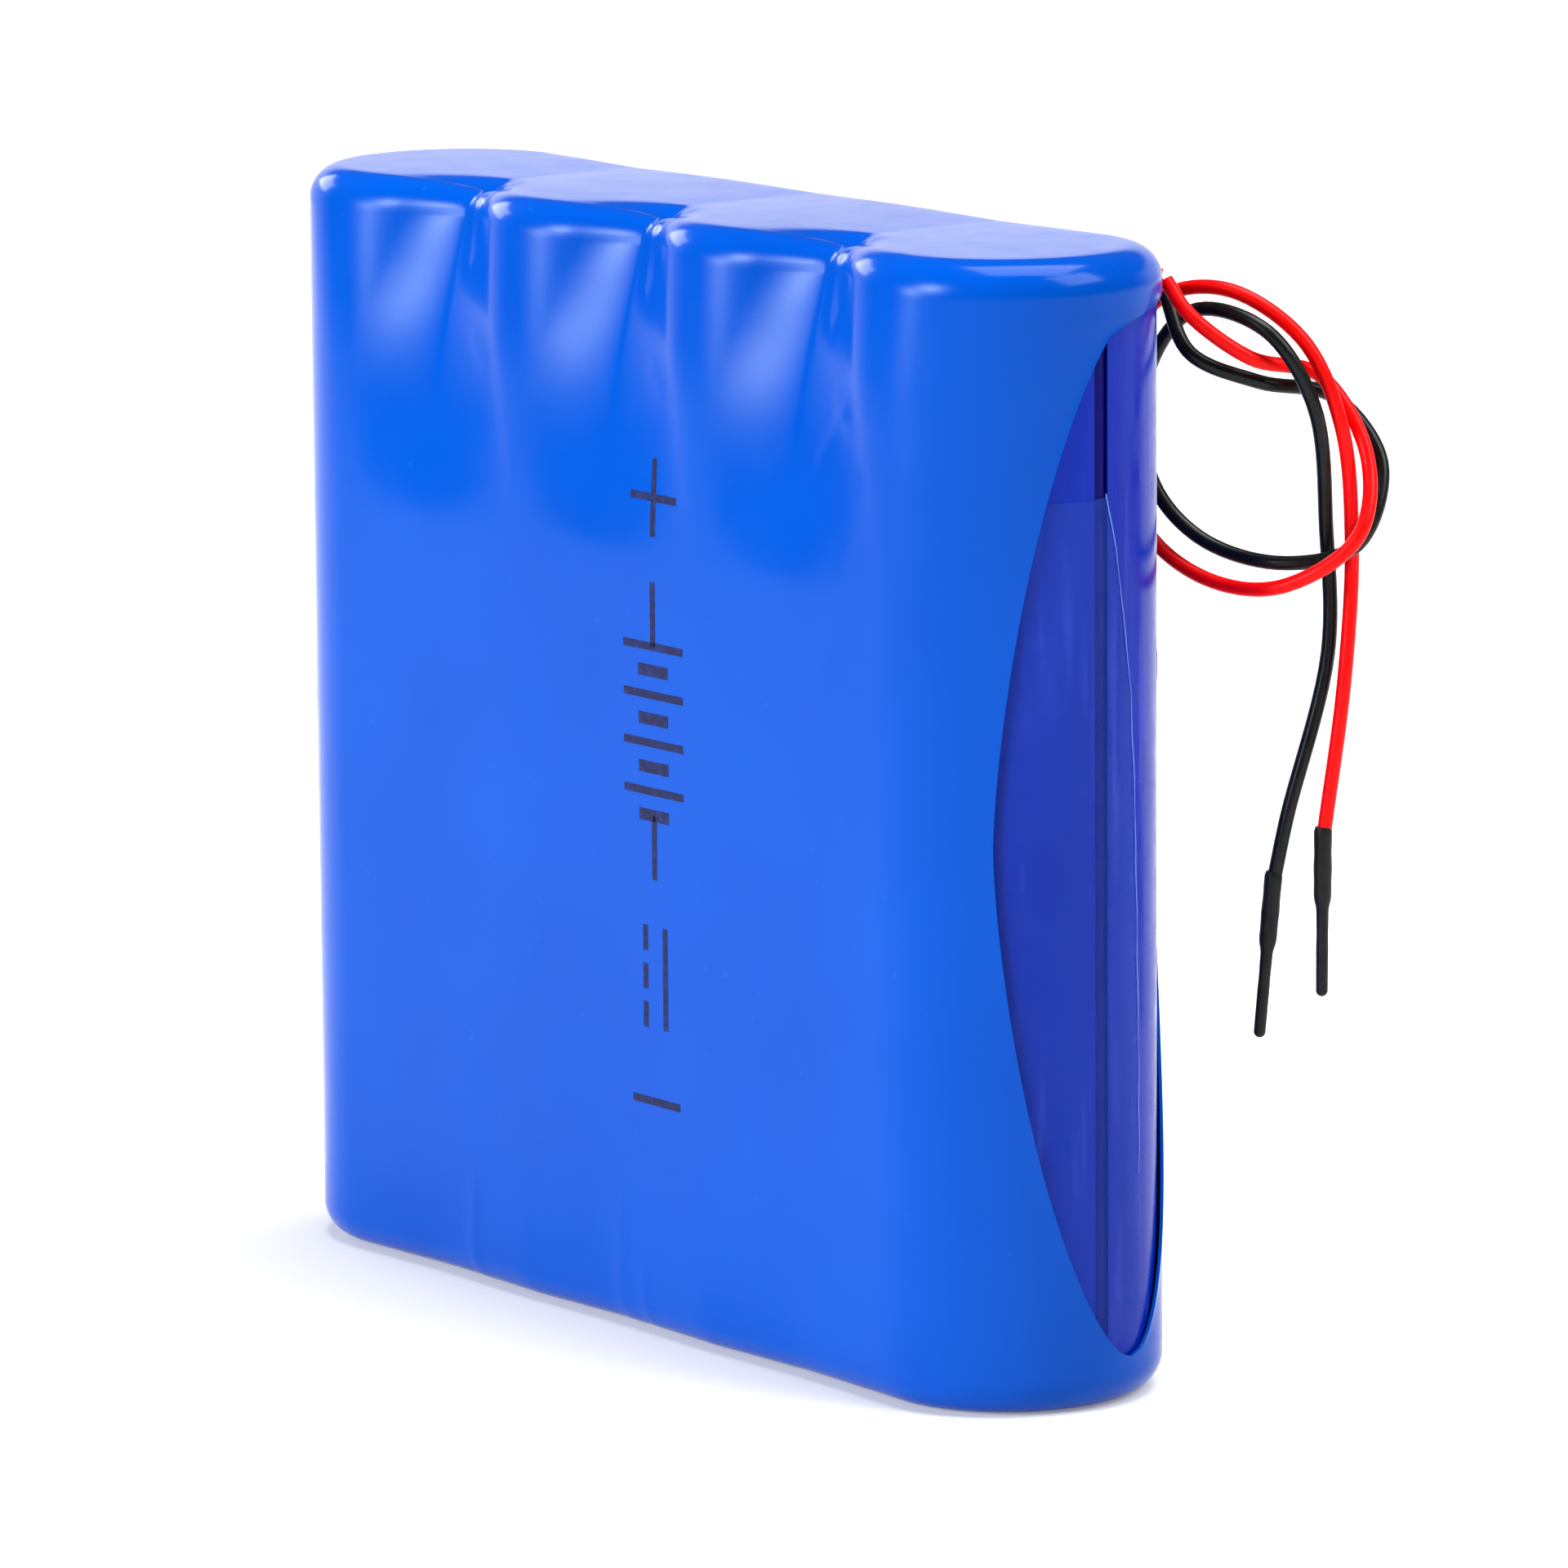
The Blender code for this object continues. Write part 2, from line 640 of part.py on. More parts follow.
def build_sleeve():
    """The shrink sleeve: a tube along X whose ends close over the end cells but for a lens each."""
    sleeve = rounded_block(
        "outer_sleeve", SLEEVE_RADIUS, (0.0, SLEEVE_HEIGHT), SLEEVE_EDGE, sleeve_blue, parts
    )
    hollow_z = (SLEEVE_WALL, SLEEVE_HEIGHT - SLEEVE_WALL)
    hollow_edge = SLEEVE_EDGE - SLEEVE_WALL
    hollow = rounded_block(
        "sleeve_hollow", SLEEVE_RADIUS - SLEEVE_WALL, hollow_z, hollow_edge, None, cutters
    )
    smooth(sleeve)
    cut(sleeve, as_cutter(hollow))

    front = lens_side(RIGHT_OPENING_CENTRE, RIGHT_OPENING_HALF_ANGLE, -1, OPENING_STEPS)
    back = lens_side(RIGHT_OPENING_CENTRE, RIGHT_OPENING_HALF_ANGLE, 1, OPENING_STEPS)
    lower_back = [point for point in back if point[1] < LEAD_CORNER[0][1] - 5 * MM]
    outline = lower_back + list(LEAD_CORNER) + front[::-1][:-1]
    cut(sleeve, opening_cutter("right_opening", outline, RIGHT_OPENING_CENTRE))

    front = lens_side(0.0, LEFT_OPENING_HALF_ANGLE, -1, OPENING_STEPS)
    back = lens_side(0.0, LEFT_OPENING_HALF_ANGLE, 1, OPENING_STEPS)
    left = opening_cutter("left_opening", back[:-1] + front[::-1][:-1], 0.0)
    left.matrix_world = Matrix.Rotation(math.pi, 4, "Z") @ left.matrix_world
    cut(sleeve, left)


def build_leads():
    lead("lead_red_inside", RED_INSIDE_ROUTE, red_pvc)
    lead("lead_black_inside", BLACK_INSIDE_ROUTE, black_pvc)
    lead("lead_red", RED_ROUTE, red_pvc)
    lead("lead_black", BLACK_ROUTE, black_pvc)
    lead_tip("lead_red_tip", RED_TIP, black_pvc)
    lead_tip("lead_black_tip", BLACK_TIP, black_pvc)
    box("lead_tape", LEAD_TAPE_SIZE, LEAD_TAPE_CENTRE, tape_amber)


clear_scene()
parts = new_collection("battery_pack")
cutters = new_collection("cutters")

sleeve_blue = new_material("sleeve_blue", (0.013, 0.13, 0.80), 0.3)
film_violet = new_material("film_violet", (0.05, 0.06, 0.45), 0.25)
jacket_blue = new_material("jacket_blue", (0.01, 0.01, 0.30), 0.35)
steel = new_material("steel", (0.62, 0.62, 0.64), 0.3, 1.0)
nickel = new_material("nickel", (0.72, 0.70, 0.66), 0.25, 1.0)
core_grey = new_material("core_grey", (0.12, 0.12, 0.13), 0.6)
gasket_plastic = new_material("gasket_plastic", (0.75, 0.78, 0.80), 0.5)
white_paper = new_material("white_paper", (0.85, 0.85, 0.82), 0.8)
barley_paper = new_material("barley_paper", (0.35, 0.44, 0.30), 0.85)
foam = new_material("foam", (0.03, 0.03, 0.03), 0.95)
glue = new_material("glue", (0.80, 0.78, 0.66), 0.4)
board_green = new_material("board_green", (0.02, 0.16, 0.06), 0.4)
chip_black = new_material("chip_black", (0.02, 0.02, 0.02), 0.5)
ceramic_tan = new_material("ceramic_tan", (0.45, 0.32, 0.18), 0.5)
tape_amber = new_material("tape_amber", (0.60, 0.25, 0.03), 0.3)
red_pvc = new_material("red_pvc", (0.85, 0.01, 0.01), 0.35)
black_pvc = new_material("black_pvc", (0.012, 0.014, 0.014), 0.35)

for cell_number in range(1, CELL_COUNT + 1):
    build_cell(cell_number)
for gap_number in range(1, CELL_COUNT):
    build_glue(gap_number)
build_nickel()
build_end_sheets()
build_board()
build_film()
build_sleeve()
build_leads()
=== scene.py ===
"""The looks of a four-cell battery pack in a blue shrink sleeve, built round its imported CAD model.

Metres, in the CAD's own frame: +X runs along the row of cells to the leads' end, -Y is the front face,
+Z is up, and the pack stands on Z = 0. Lengths below are written in millimetres times MM.
"""

import math

import bmesh
import bpy
import numpy as np
from mathutils import Matrix, Vector


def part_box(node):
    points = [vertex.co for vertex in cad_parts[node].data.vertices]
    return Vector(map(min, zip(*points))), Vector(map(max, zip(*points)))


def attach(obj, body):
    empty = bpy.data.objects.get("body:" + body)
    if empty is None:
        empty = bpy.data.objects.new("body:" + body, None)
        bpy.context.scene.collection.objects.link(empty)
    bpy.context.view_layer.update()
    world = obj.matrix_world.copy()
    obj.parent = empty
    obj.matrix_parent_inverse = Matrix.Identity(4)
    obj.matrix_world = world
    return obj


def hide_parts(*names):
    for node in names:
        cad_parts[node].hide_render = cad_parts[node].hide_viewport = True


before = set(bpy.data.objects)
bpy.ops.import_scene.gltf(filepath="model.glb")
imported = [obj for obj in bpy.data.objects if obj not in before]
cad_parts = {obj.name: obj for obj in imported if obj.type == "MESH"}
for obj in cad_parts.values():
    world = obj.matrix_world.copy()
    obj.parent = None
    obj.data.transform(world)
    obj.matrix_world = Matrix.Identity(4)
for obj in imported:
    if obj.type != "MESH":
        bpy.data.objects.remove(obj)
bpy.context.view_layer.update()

MM = 0.001

# The row of cells
CELL_PITCH = 18.25 * MM
CELLS = tuple(CELL_PITCH * (i - 1.5) for i in range(4))
VALLEYS = tuple(CELL_PITCH * (i - 1.0) for i in range(3))
END_X = CELLS[-1]
HALF_PITCH = CELL_PITCH / 2

# The sleeve
SLEEVE_RADIUS = 9.53 * MM
SLEEVE_WALL = 0.20 * MM
SLEEVE_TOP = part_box("outer_sleeve")[1].z
SLEEVE_STEPS = (190, 30)  # stations along each straight face, and round each quarter or so of an end
WELD = 1e-7  # points of the sleeve closer than this are one
EDGE = 2.1 * MM  # the radius of its top and bottom edges
DOME = 0.05 * MM  # how far each cell's end stands over its rim
# how deep the sleeve dips into the valleys between the cells, how far down or up from the edge it does,
# and the power of the height by which it fades
TOP_NOTCH, TOP_NOTCH_REACH, TOP_NOTCH_FADE = 3.2 * MM, 19.0 * MM, 1.55
BOTTOM_NOTCH, BOTTOM_NOTCH_REACH, BOTTOM_NOTCH_FADE = 0.25 * MM, 10.0 * MM, 2.2
MID_DIP = 0.03 * MM
NOTCH_SHARPNESS = 1.3  # 1 is a straight V, 2 is round
# how far the faces lean in towards their top edge, over what height, with what share of it towards the
# bottom edge, and in how many degrees round the ends it dies away
LEAN, LEAN_REACH, LEAN_BELOW, LEAN_TURN = 0.26 * MM, 9.0 * MM, 0.6, 35.0
# how far the top sags between the cells, everywhere and at its edge, in millimetres, how fast the second
# fades inwards, and how narrow the sag is along the row
TOP_SAG, TOP_SAG_AT_EDGE, SAG_FADE, SAG_NARROWNESS = 0.05, 0.75, 2.5, 2.4
BOTTOM_SAG = 0.6  # the bottom's share of the sag that the top has over the middle of the row
SIDE_ROWS, SIDE_CROWDING = 96, 0.75  # rows up the sides, and how much they crowd at both ends
# how much of the full notch each valley takes on the back, from left to right: the board fills the
# middle one, and the leads cross the right one
BACK_SHARE = (0.06, 0.0, 0.05)

# Small ridges the sleeve shrank into on its front, in millimetres: both ends as (x, z), width, height
PUCKERS = [
    ((23.6, 59.8), (21.0, 56.6), 0.45, 0.06),
    ((25.6, 55.5), (21.6, 42.5), 0.50, 0.03),
    ((-14.6, 1.0), (-14.2, 6.5), 0.60, 0.06),
    ((0.8, 1.0), (1.4, 8.0), 0.70, 0.05),
    ((3.6, 1.0), (3.3, 4.0), 0.50, 0.04),
]
for valley_x in (-18.25, 0.0, 18.25):
    PUCKERS += [
        ((valley_x + 1.2, 68.0), (valley_x + 1.9, 65.0), 0.40, 0.13),
        ((valley_x + 2.6, 67.4), (valley_x + 3.1, 65.6), 0.40, -0.09),
        ((valley_x + 4.2, 60.2), (valley_x + 5.6, 59.2), 0.50, 0.04),
    ]

# The openings over the end cells
OPENING_MIDDLE = 34.5 * MM
OPENING_HALF_HEIGHT = 31.5 * MM
RIGHT_CENTRE, RIGHT_HALF = 14.0, 57.0  # degrees round the end cell: 0 is +X, 90 is the back
LEFT_HALF = 50.0
# the right opening's upper back corner, where the leads come out, as (height in mm, degrees) up the
# front rim and up the back rim, from where each leaves the lens
FRONT_CORNER_START, BACK_CORNER_START = 64.8 * MM, 44.0 * MM
CORNER_TIP = (68.41, 70.0)
FRONT_CORNER = (
    (65.3, 9.0),
    (65.75, 17.0),
    (66.1, 30.0),
    (66.4, 42.0),
    (66.8, 50.0),
    (67.5, 55.0),
    (68.0, 59.0),
    (68.3, 64.0),
    CORNER_TIP,
)
BACK_CORNER = (
    (48.0, 73.0),
    (52.0, 76.5),
    (60.0, 80.5),
    (66.0, 83.0),
    (67.5, 82.0),
    (68.2, 78.0),
    CORNER_TIP,
)
RIM_FLARE, RIM_WIDTH = 0.08 * MM, 0.35 * MM  # the curl of the sleeve's edge round each opening

# The film and the tape on it
FILM_RADII = (9.11 * MM, 9.19 * MM)
FILM_Z = (2.2 * MM, 67.0 * MM)
FILM_SEAM = 3.1  # half of the seam, in degrees
FILM_STEPS = (36, 40, 60)  # along each straight face, round each quarter of an end, and up
TAPE_RADIUS = 9.25 * MM
TAPE_WALL = 0.04 * MM
TAPE_Z = (4.0 * MM, 55.5 * MM)
TAPE_STEPS = (36, 140)  # across and up
TAPE_FRONT = -52.0  # degrees round the end cell
# the tape's free edge, as (height in mm, degrees)
TAPE_BOW = ((4, 21.0), (20, 21.5), (36, 18.7), (43, 16.0), (50, 9.6), (54, 4.4), (56, 1.5))
TAPE_BEAD, TAPE_BEAD_START, TAPE_BEAD_STEPS = 0.035 * MM, 14 * MM, 130

# The leads, whose routes are the CAD's
LEAD_DIAMETER = 0.9 * MM
LEAD_STEPS = 10  # between two points of a route
RED_ROUTE = (
    (31.9, 8.9, 67.0),
    (33.4, 9.4, 65.1),
    (35.7, 12.3, 62.4),
    (36.7, 17.0, 61.0),
    (39.4, 18.3, 56.4),
    (40.9, 16.3, 51.8),
    (37.4, 13.3, 48.7),
    (31.7, 11.8, 48.8),
    (26.8, 11.2, 51.7),
    (25.8, 10.8, 58.5),
    (28.0, 11.2, 65.0),
    (32.6, 12.9, 66.2),
    (36.8, 15.4, 63.4),
    (38.6, 16.9, 58.4),
    (38.4, 18.0, 51.2),
    (38.7, 17.2, 42.9),
    (38.2, 16.0, 33.3),
)
BLACK_ROUTE = (
    (30.5, 10.0, 66.0),
    (32.7, 10.1, 62.6),
    (35.0, 13.5, 60.8),
    (36.0, 18.7, 59.5),
    (38.9, 19.9, 55.7),
    (39.6, 17.4, 51.1),
    (36.5, 14.4, 49.9),
    (30.9, 12.4, 51.0),
    (27.6, 11.4, 54.3),
    (27.6, 11.0, 60.5),
    (31.0, 11.7, 64.8),
    (36.4, 13.0, 64.0),
    (38.2, 15.1, 59.6),
    (37.1, 17.1, 51.7),
    (37.4, 17.0, 44.3),
    (36.8, 14.3, 34.5),
    (36.4, 13.6, 30.6),
)
RED_TIP = ((38.2, 15.95, 33.0), (38.2, 15.9, 23.5))
BLACK_TIP = ((36.36, 13.55, 30.3), (35.9, 12.9, 21.0))

CAP_RADII = (0.55 * MM, 0.37 * MM)  # over the lead, and over its bare end
CAP_OVERLAP = 0.9 * MM  # of the lead's end that the cap covers
CAP_STEP_PLACE, CAP_STEP_STEEPNESS = 0.47, 60  # where along it the cap steps down, and how sharply
CAP_STEPS = (20, 40, 6)  # round, along, and over the nose

# The printed marks, in a column on the front
PRINT_X = 5.2 * MM
PRINT_TOP = 55.0 * MM
PRINT_MINUS = 15.0 * MM
PRINT_HALF_WIDTH = 3.0 * MM
BATTERY_CELLS = 4
STROKE = 0.50 * MM
STROKE_STEP = 0.8 * MM
INK_LIFT = 0.012 * MM

# The camera
CAMERA_AZIMUTH = 52.14
CAMERA_ELEVATION = 10.28
CAMERA_ROLL = -0.39
CAMERA_DISTANCE = 613.0 * MM
CAMERA_TARGET = Vector((5.83, 0.07, 33.87)) * MM
CAMERA_LENS = 228.0


# ---------------------------------------------------------------- camera

def direction(azimuth, elevation):
    """The unit vector from the object towards a place round it: azimuth 0 is in front, 90 is at +X."""
    a, e = math.radians(azimuth), math.radians(elevation)
    return Vector((math.sin(a) * math.cos(e), -math.cos(a) * math.cos(e), math.sin(e)))


def make_camera():
    camera = bpy.data.objects.new("camera", bpy.data.cameras.new("camera"))
    bpy.context.scene.collection.objects.link(camera)
    camera.data.lens = CAMERA_LENS
    camera.data.sensor_width = 36.0
    camera.data.clip_start = 0.01
    back = direction(CAMERA_AZIMUTH, CAMERA_ELEVATION)
    camera.location = CAMERA_TARGET + back * CAMERA_DISTANCE
    level = (-back).to_track_quat("-Z", "Y").to_matrix().to_4x4()
    roll = Matrix.Rotation(math.radians(CAMERA_ROLL), 4, "Z")
    camera.matrix_world = Matrix.Translation(camera.location) @ level @ roll
    bpy.context.scene.camera = camera


# ---------------------------------------------------------------- materials

def map_range(start, stop, low, high):
    """The values of a Map Range node that takes start to stop into low to high."""
    return {"From Min": start, "From Max": stop, "To Min": low, "To Max": high}


class Look:
    """A procedural material: a Principled shader and the nodes that feed it."""

    def __init__(self, name):
        self.material = bpy.data.materials.new(name)
        self.material.use_nodes = True
        self.tree = self.material.node_tree
        self.shader = self.tree.nodes["Principled BSDF"]
        self.place = self.tree.nodes.new("ShaderNodeTexCoord").outputs["Object"]

    def node(self, kind, **values):
        made = self.tree.nodes.new("ShaderNode" + kind)
        for name, value in values.items():
            if name in made.inputs:
                made.inputs[name].default_value = value
            else:
                setattr(made, name, value)
        return made

    def link(self, source, target):
        self.tree.links.new(source, target)

    def set(self, **values):
        for name, value in values.items():
            self.shader.inputs[name.replace("_", " ")].default_value = value

    def stretched(self, stretch):
        """The object's coordinates, scaled by this much along each axis."""
        mapping = self.node("Mapping")
        mapping.inputs["Scale"].default_value = stretch
        self.link(self.place, mapping.inputs["Vector"])
        return mapping.outputs["Vector"]

    def noise(self, size, detail=3.0, roughness=0.5, stretch=(1.0, 1.0, 1.0)):
        """A noise whose features are about this size, in metres."""
        made = self.node("TexNoise", Scale=1.0 / size, Detail=detail, Roughness=roughness)
        self.link(self.stretched(stretch), made.inputs["Vector"])
        return made.outputs["Fac"]

    def spread(self, source, low, high, start=0.3, stop=0.7):
        """source from start to stop, stretched to run from low to high."""
        made = self.node("MapRange", **map_range(start, stop, low, high))
        self.link(source, made.inputs["Value"])
        return made.outputs["Result"]

    def mix(self, share, first, second):
        """A colour between two colours, each a value or another node's output."""
        made = self.tree.nodes.new("ShaderNodeMix")
        made.data_type = "RGBA"
        self.link(share, made.inputs["Factor"])
        for colour, place in ((first, made.inputs[6]), (second, made.inputs[7])):
            if isinstance(colour, tuple):
                place.default_value = (*colour, 1.0)
            else:
                self.link(colour, place)
        return made.outputs[2]

    def colour(self, source):
        self.link(source, self.shader.inputs["Base Color"])

    def roughness(self, source):
        self.link(source, self.shader.inputs["Roughness"])

    def bump(self, height, depth, strength=1.0):
        """Bump from this height, whose full range is depth metres deep; several calls add up."""
        made = self.node("Bump", Strength=strength, Distance=depth)
        self.link(height, made.inputs["Height"])
        normal = self.shader.inputs["Normal"]
        if normal.is_linked:
            self.link(normal.links[0].from_socket, made.inputs["Normal"])
        self.link(made.outputs["Normal"], normal)


def sleeve_look():
    """Glossy blue PVC: faint cloudiness, a fine orange peel, and a few lighter scuffs here and there."""
    look = Look("blue_shrink_sleeve")
    clouds = look.spread(look.noise(16 * MM, 2.0), 0.0, 1.0)
    base = look.mix(clouds, (0.0, 0.050, 0.345), (0.0, 0.058, 0.380))
    flecks = look.spread(look.noise(0.9 * MM, 2.0, 0.6), 0.0, 0.12, 0.72, 0.80)
    look.colour(look.mix(flecks, base, (0.03, 0.20, 0.80)))
    look.roughness(look.spread(look.noise(3 * MM, 4.0), 0.13, 0.19))
    look.set(Specular_IOR_Level=0.12, Specular_Tint=(0.75, 0.94, 1.0, 1.0))
    look.bump(look.noise(5.0 * MM, 1.0, stretch=(1.0, 1.0, 0.5)), 0.01 * MM, 0.5)
    look.bump(look.noise(0.5 * MM, 1.0), 0.0006 * MM, 0.3)
    return look.material


def film_look(name, light, dark, alpha=1.0):
    """Milky violet film: cloudy, glossy, with faint upright stretch lines."""
    look = Look(name)
    clouds = look.spread(look.noise(9 * MM, 3.0, stretch=(1.0, 1.0, 0.35)), 0.0, 1.0)
    base = look.mix(clouds, dark, light)
    lines = look.spread(look.noise(0.8 * MM, 2.0, stretch=(1.0, 1.0, 0.06)), 0.0, 0.25, 0.55, 0.75)
    look.colour(look.mix(lines, base, (0.07, 0.11, 0.62)))
    look.roughness(look.spread(look.noise(2 * MM, 3.0), 0.16, 0.30))
    look.set(Specular_IOR_Level=0.10, Alpha=alpha)
    look.bump(look.noise(5 * MM, 2.0, stretch=(1.0, 1.0, 0.25)), 0.03 * MM, 0.5)
    return look.material


def plastic_look(name, dark, light, size, rough, gloss=0.5, depth=0.01 * MM):
    """Moulded or extruded plastic: two close shades, with a fine grain."""
    look = Look(name)
    look.colour(look.mix(look.spread(look.noise(size, 3.0), 0.0, 1.0), dark, light))
    look.roughness(look.spread(look.noise(size / 3, 3.0), rough[0], rough[1]))
    look.set(Specular_IOR_Level=gloss)
    look.bump(look.noise(size / 5, 2.0), depth, 0.6)
    return look.material


def metal_look(name, dark, light, stretch):
    """Rolled or drawn metal: brushed along one axis, with faint stains."""
    look = Look(name)
    stains = look.spread(look.noise(4 * MM, 3.0), 0.0, 1.0)
    look.colour(look.mix(stains, dark, light))
    brushed = look.noise(0.25 * MM, 3.0, stretch=stretch)
    look.roughness(look.spread(brushed, 0.22, 0.42))
    look.set(Metallic=1.0)
    look.bump(brushed, 0.004 * MM, 0.5)
    return look.material


def paper_look(name, dark, light):
    """Fibrous board or paper."""
    look = Look(name)
    fibres = look.noise(0.5 * MM, 6.0, 0.7, stretch=(0.25, 1.0, 1.0))
    look.colour(look.mix(look.spread(fibres, 0.0, 1.0), dark, light))
    look.roughness(look.spread(fibres, 0.75, 0.95))
    look.bump(fibres, 0.03 * MM, 0.7)
    return look.material


def foam_look(name):
    """Closed-cell foam: small round pores, each painted darker towards its middle as shade."""
    look = Look(name)
    pores = look.node("TexVoronoi", Scale=1.0 / (0.45 * MM))
    look.link(look.place, pores.inputs["Vector"])
    depth = look.spread(pores.outputs["Distance"], 0.0, 1.0, 0.1, 0.6)
    # the pores' depth also darkens the colour towards each pore's middle: painted shade
    look.colour(look.mix(depth, (0.010, 0.010, 0.011), (0.045, 0.045, 0.047)))
    look.set(Roughness=0.92)
    look.bump(depth, 0.08 * MM, 0.8)
    return look.material


def ink_look():
    """Printed ink, a little broken by the sleeve's grain."""
    look = Look("printed_ink")
    wear = look.spread(look.noise(0.5 * MM, 3.0), 0.0, 1.0, 0.45, 0.75)
    look.colour(look.mix(wear, (0.003, 0.005, 0.040), (0.004, 0.016, 0.12)))
    look.roughness(look.spread(look.noise(0.3 * MM, 2.0), 0.35, 0.55))
    look.set(Specular_IOR_Level=0.15)
    return look.material


# ---------------------------------------------------------------- meshes

def add_object(name, data, material, record_slot, *nodes):
    """Links a piece, gives it its material, and makes it ride on the pack in place of these CAD nodes."""
    piece = bpy.data.objects.new(name, data)
    bpy.context.scene.collection.objects.link(piece)
    data.materials.append(material)
    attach(piece, "root")
    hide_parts(*nodes)
    return piece


def new_mesh(name, verts, faces):
    mesh = bpy.data.meshes.new(name)
    mesh.from_pydata(verts, [], faces)
    return mesh


def smooth(mesh, angle=50.0):
    mesh.shade_smooth()
    mesh.set_sharp_from_angle(angle=math.radians(angle))


def face_outwards(mesh, weld=0.0):
    """Joins the points closer than weld, and turns every face outwards."""
    shape = bmesh.new()
    shape.from_mesh(mesh)
    if weld:
        bmesh.ops.remove_doubles(shape, verts=shape.verts, dist=weld)
    bmesh.ops.recalc_face_normals(shape, faces=shape.faces)
    shape.to_mesh(mesh)
    shape.free()


def thicken(piece, wall):
    """Gives a sheet this wall behind its face, as plain mesh."""
    solidify = piece.modifiers.new("wall", "SOLIDIFY")
    solidify.thickness = wall
    solidify.offset = -1.0
    graph = bpy.context.evaluated_depsgraph_get()
    made = bpy.data.meshes.new_from_object(piece.evaluated_get(graph))
    piece.modifiers.clear()
    piece.data = made


def round_wire(name, places, radius, resolution):
    """A round wire through these places, as a curve."""
    curve = bpy.data.curves.new(name, "CURVE")
    curve.dimensions = "3D"
    curve.bevel_depth = radius
    curve.bevel_resolution = resolution
    spline = curve.splines.new("POLY")
    spline.points.add(len(places) - 1)
    for point, place in zip(spline.points, places):
        point.co = (*place, 1.0)
    return curve


def between(points, place):
    """The value at this place of a line through (place, value) points."""
    places, values = zip(*points)
    return float(np.interp(place, places, values))


# ---------------------------------------------------------------- the sleeve's form

def circle_depth(offset, radius):
    """How deep the round cells lie behind the flat face, at this distance from a valley."""
    return radius - math.sqrt(radius**2 - (HALF_PITCH - offset) ** 2)


def circle_slope(offset, radius):
    return (HALF_PITCH - offset) / math.sqrt(radius**2 - (HALF_PITCH - offset) ** 2)


def touching_offset(dip, radius):
    """How far from the valley a film that dips this deep leaves the round cells."""
    low, high = 0.01 * MM, HALF_PITCH
    for _ in range(40):
        middle = (low + high) / 2
        reached = circle_depth(middle, radius)
        reached += middle * circle_slope(middle, radius) / NOTCH_SHARPNESS
        low, high = (middle, high) if reached > dip else (low, middle)
    return middle


def bridge_depth(offset, dip, radius):
    """How deep the film lies behind the flat face, at this distance from a valley: it bridges the two
    cells, and touches both where it leaves them."""
    if dip < 1e-7 or offset >= HALF_PITCH:
        return 0.0
    leave = touching_offset(dip, radius)
    if offset >= leave:
        return circle_depth(offset, radius)
    slope = circle_slope(leave, radius)
    rise = slope * leave / NOTCH_SHARPNESS * (offset / leave) ** NOTCH_SHARPNESS
    return circle_depth(leave, radius) + slope * leave / NOTCH_SHARPNESS - rise


def dip_at(z, valley, back):
    """How deep the film dips into this valley, at this height."""
    top = max(0.0, 1 - (SLEEVE_TOP - EDGE - z) / TOP_NOTCH_REACH)
    bottom = max(0.0, 1 - (z - EDGE) / BOTTOM_NOTCH_REACH)
    share = BACK_SHARE[valley] if back else 1.0
    dip = TOP_NOTCH * min(1.0, top) ** TOP_NOTCH_FADE
    dip += BOTTOM_NOTCH * min(1.0, bottom) ** BOTTOM_NOTCH_FADE
    return (dip + MID_DIP) * share


def lean_at(z, angle):
    """How far the faces have leaned in at this height; round the ends the lean dies away."""
    from_top = max(0.0, 1 - (SLEEVE_TOP - EDGE - z) / LEAN_REACH)
    from_bottom = max(0.0, 1 - (z - EDGE) / LEAN_REACH)
    round_end = math.degrees(math.asin(min(1.0, abs(math.cos(math.radians(angle))))))
    fade = max(0.0, 1 - round_end / LEAN_TURN) ** 2
    return LEAN * (from_top**2 + LEAN_BELOW * from_bottom**2) * fade


def pucker(x, z):
    """How far the small ridges raise the front here."""
    raised = 0.0
    x, z = x / MM, z / MM
    for (x0, z0), (x1, z1), width, height in PUCKERS:
        run, climb = x1 - x0, z1 - z0
        share = ((x - x0) * run + (z - z0) * climb) / (run**2 + climb**2)
        share = min(1.0, max(0.0, share))
        away = math.hypot(x - x0 - share * run, z - z0 - share * climb)
        if away < 3 * width:
            raised += height * math.exp(-((away / width) ** 2))
    return raised * MM


def nearest_valley(x):
    """The number of the valley nearest to this x, and how far it is."""
    valley = min(range(len(VALLEYS)), key=lambda i: abs(x - VALLEYS[i]))
    return valley, abs(x - VALLEYS[valley])


def side_depth(x, z, back, radius):
    """How deep the film lies behind the flat front or back face here."""
    valley, offset = nearest_valley(x)
    return bridge_depth(offset, dip_at(z, valley, back), radius)


def end_height(x, inset_share, back):
    """How far the sleeve's top sags between the cells; inset_share runs from 0 at the edge to 1 over
    the middle of the row."""
    valley, offset = nearest_valley(x)
    share = BACK_SHARE[valley] if back else 1.0
    sag = (TOP_SAG + TOP_SAG_AT_EDGE * share * max(0.0, 1 - SAG_FADE * inset_share) ** 2) * MM
    crease = max(0.0, 1 - offset / HALF_PITCH) ** SAG_NARROWNESS
    return sag * crease


class Station:
    """A place round the row: the point of the cells' middle line it belongs to, and the way out."""

    def __init__(self, x, angle):
        self.x = x
        self.angle = angle
        self.out = (math.cos(math.radians(angle)), math.sin(math.radians(angle)))
        self.straight = abs(x) < END_X - 1e-9
        self.back = self.out[1] > 0
        self.flare = 0.0


def lens_width(z):
    share = abs(z - OPENING_MIDDLE) / OPENING_HALF_HEIGHT
    return (1 - share**1.5) ** 0.55 if share < 1 else 0.0


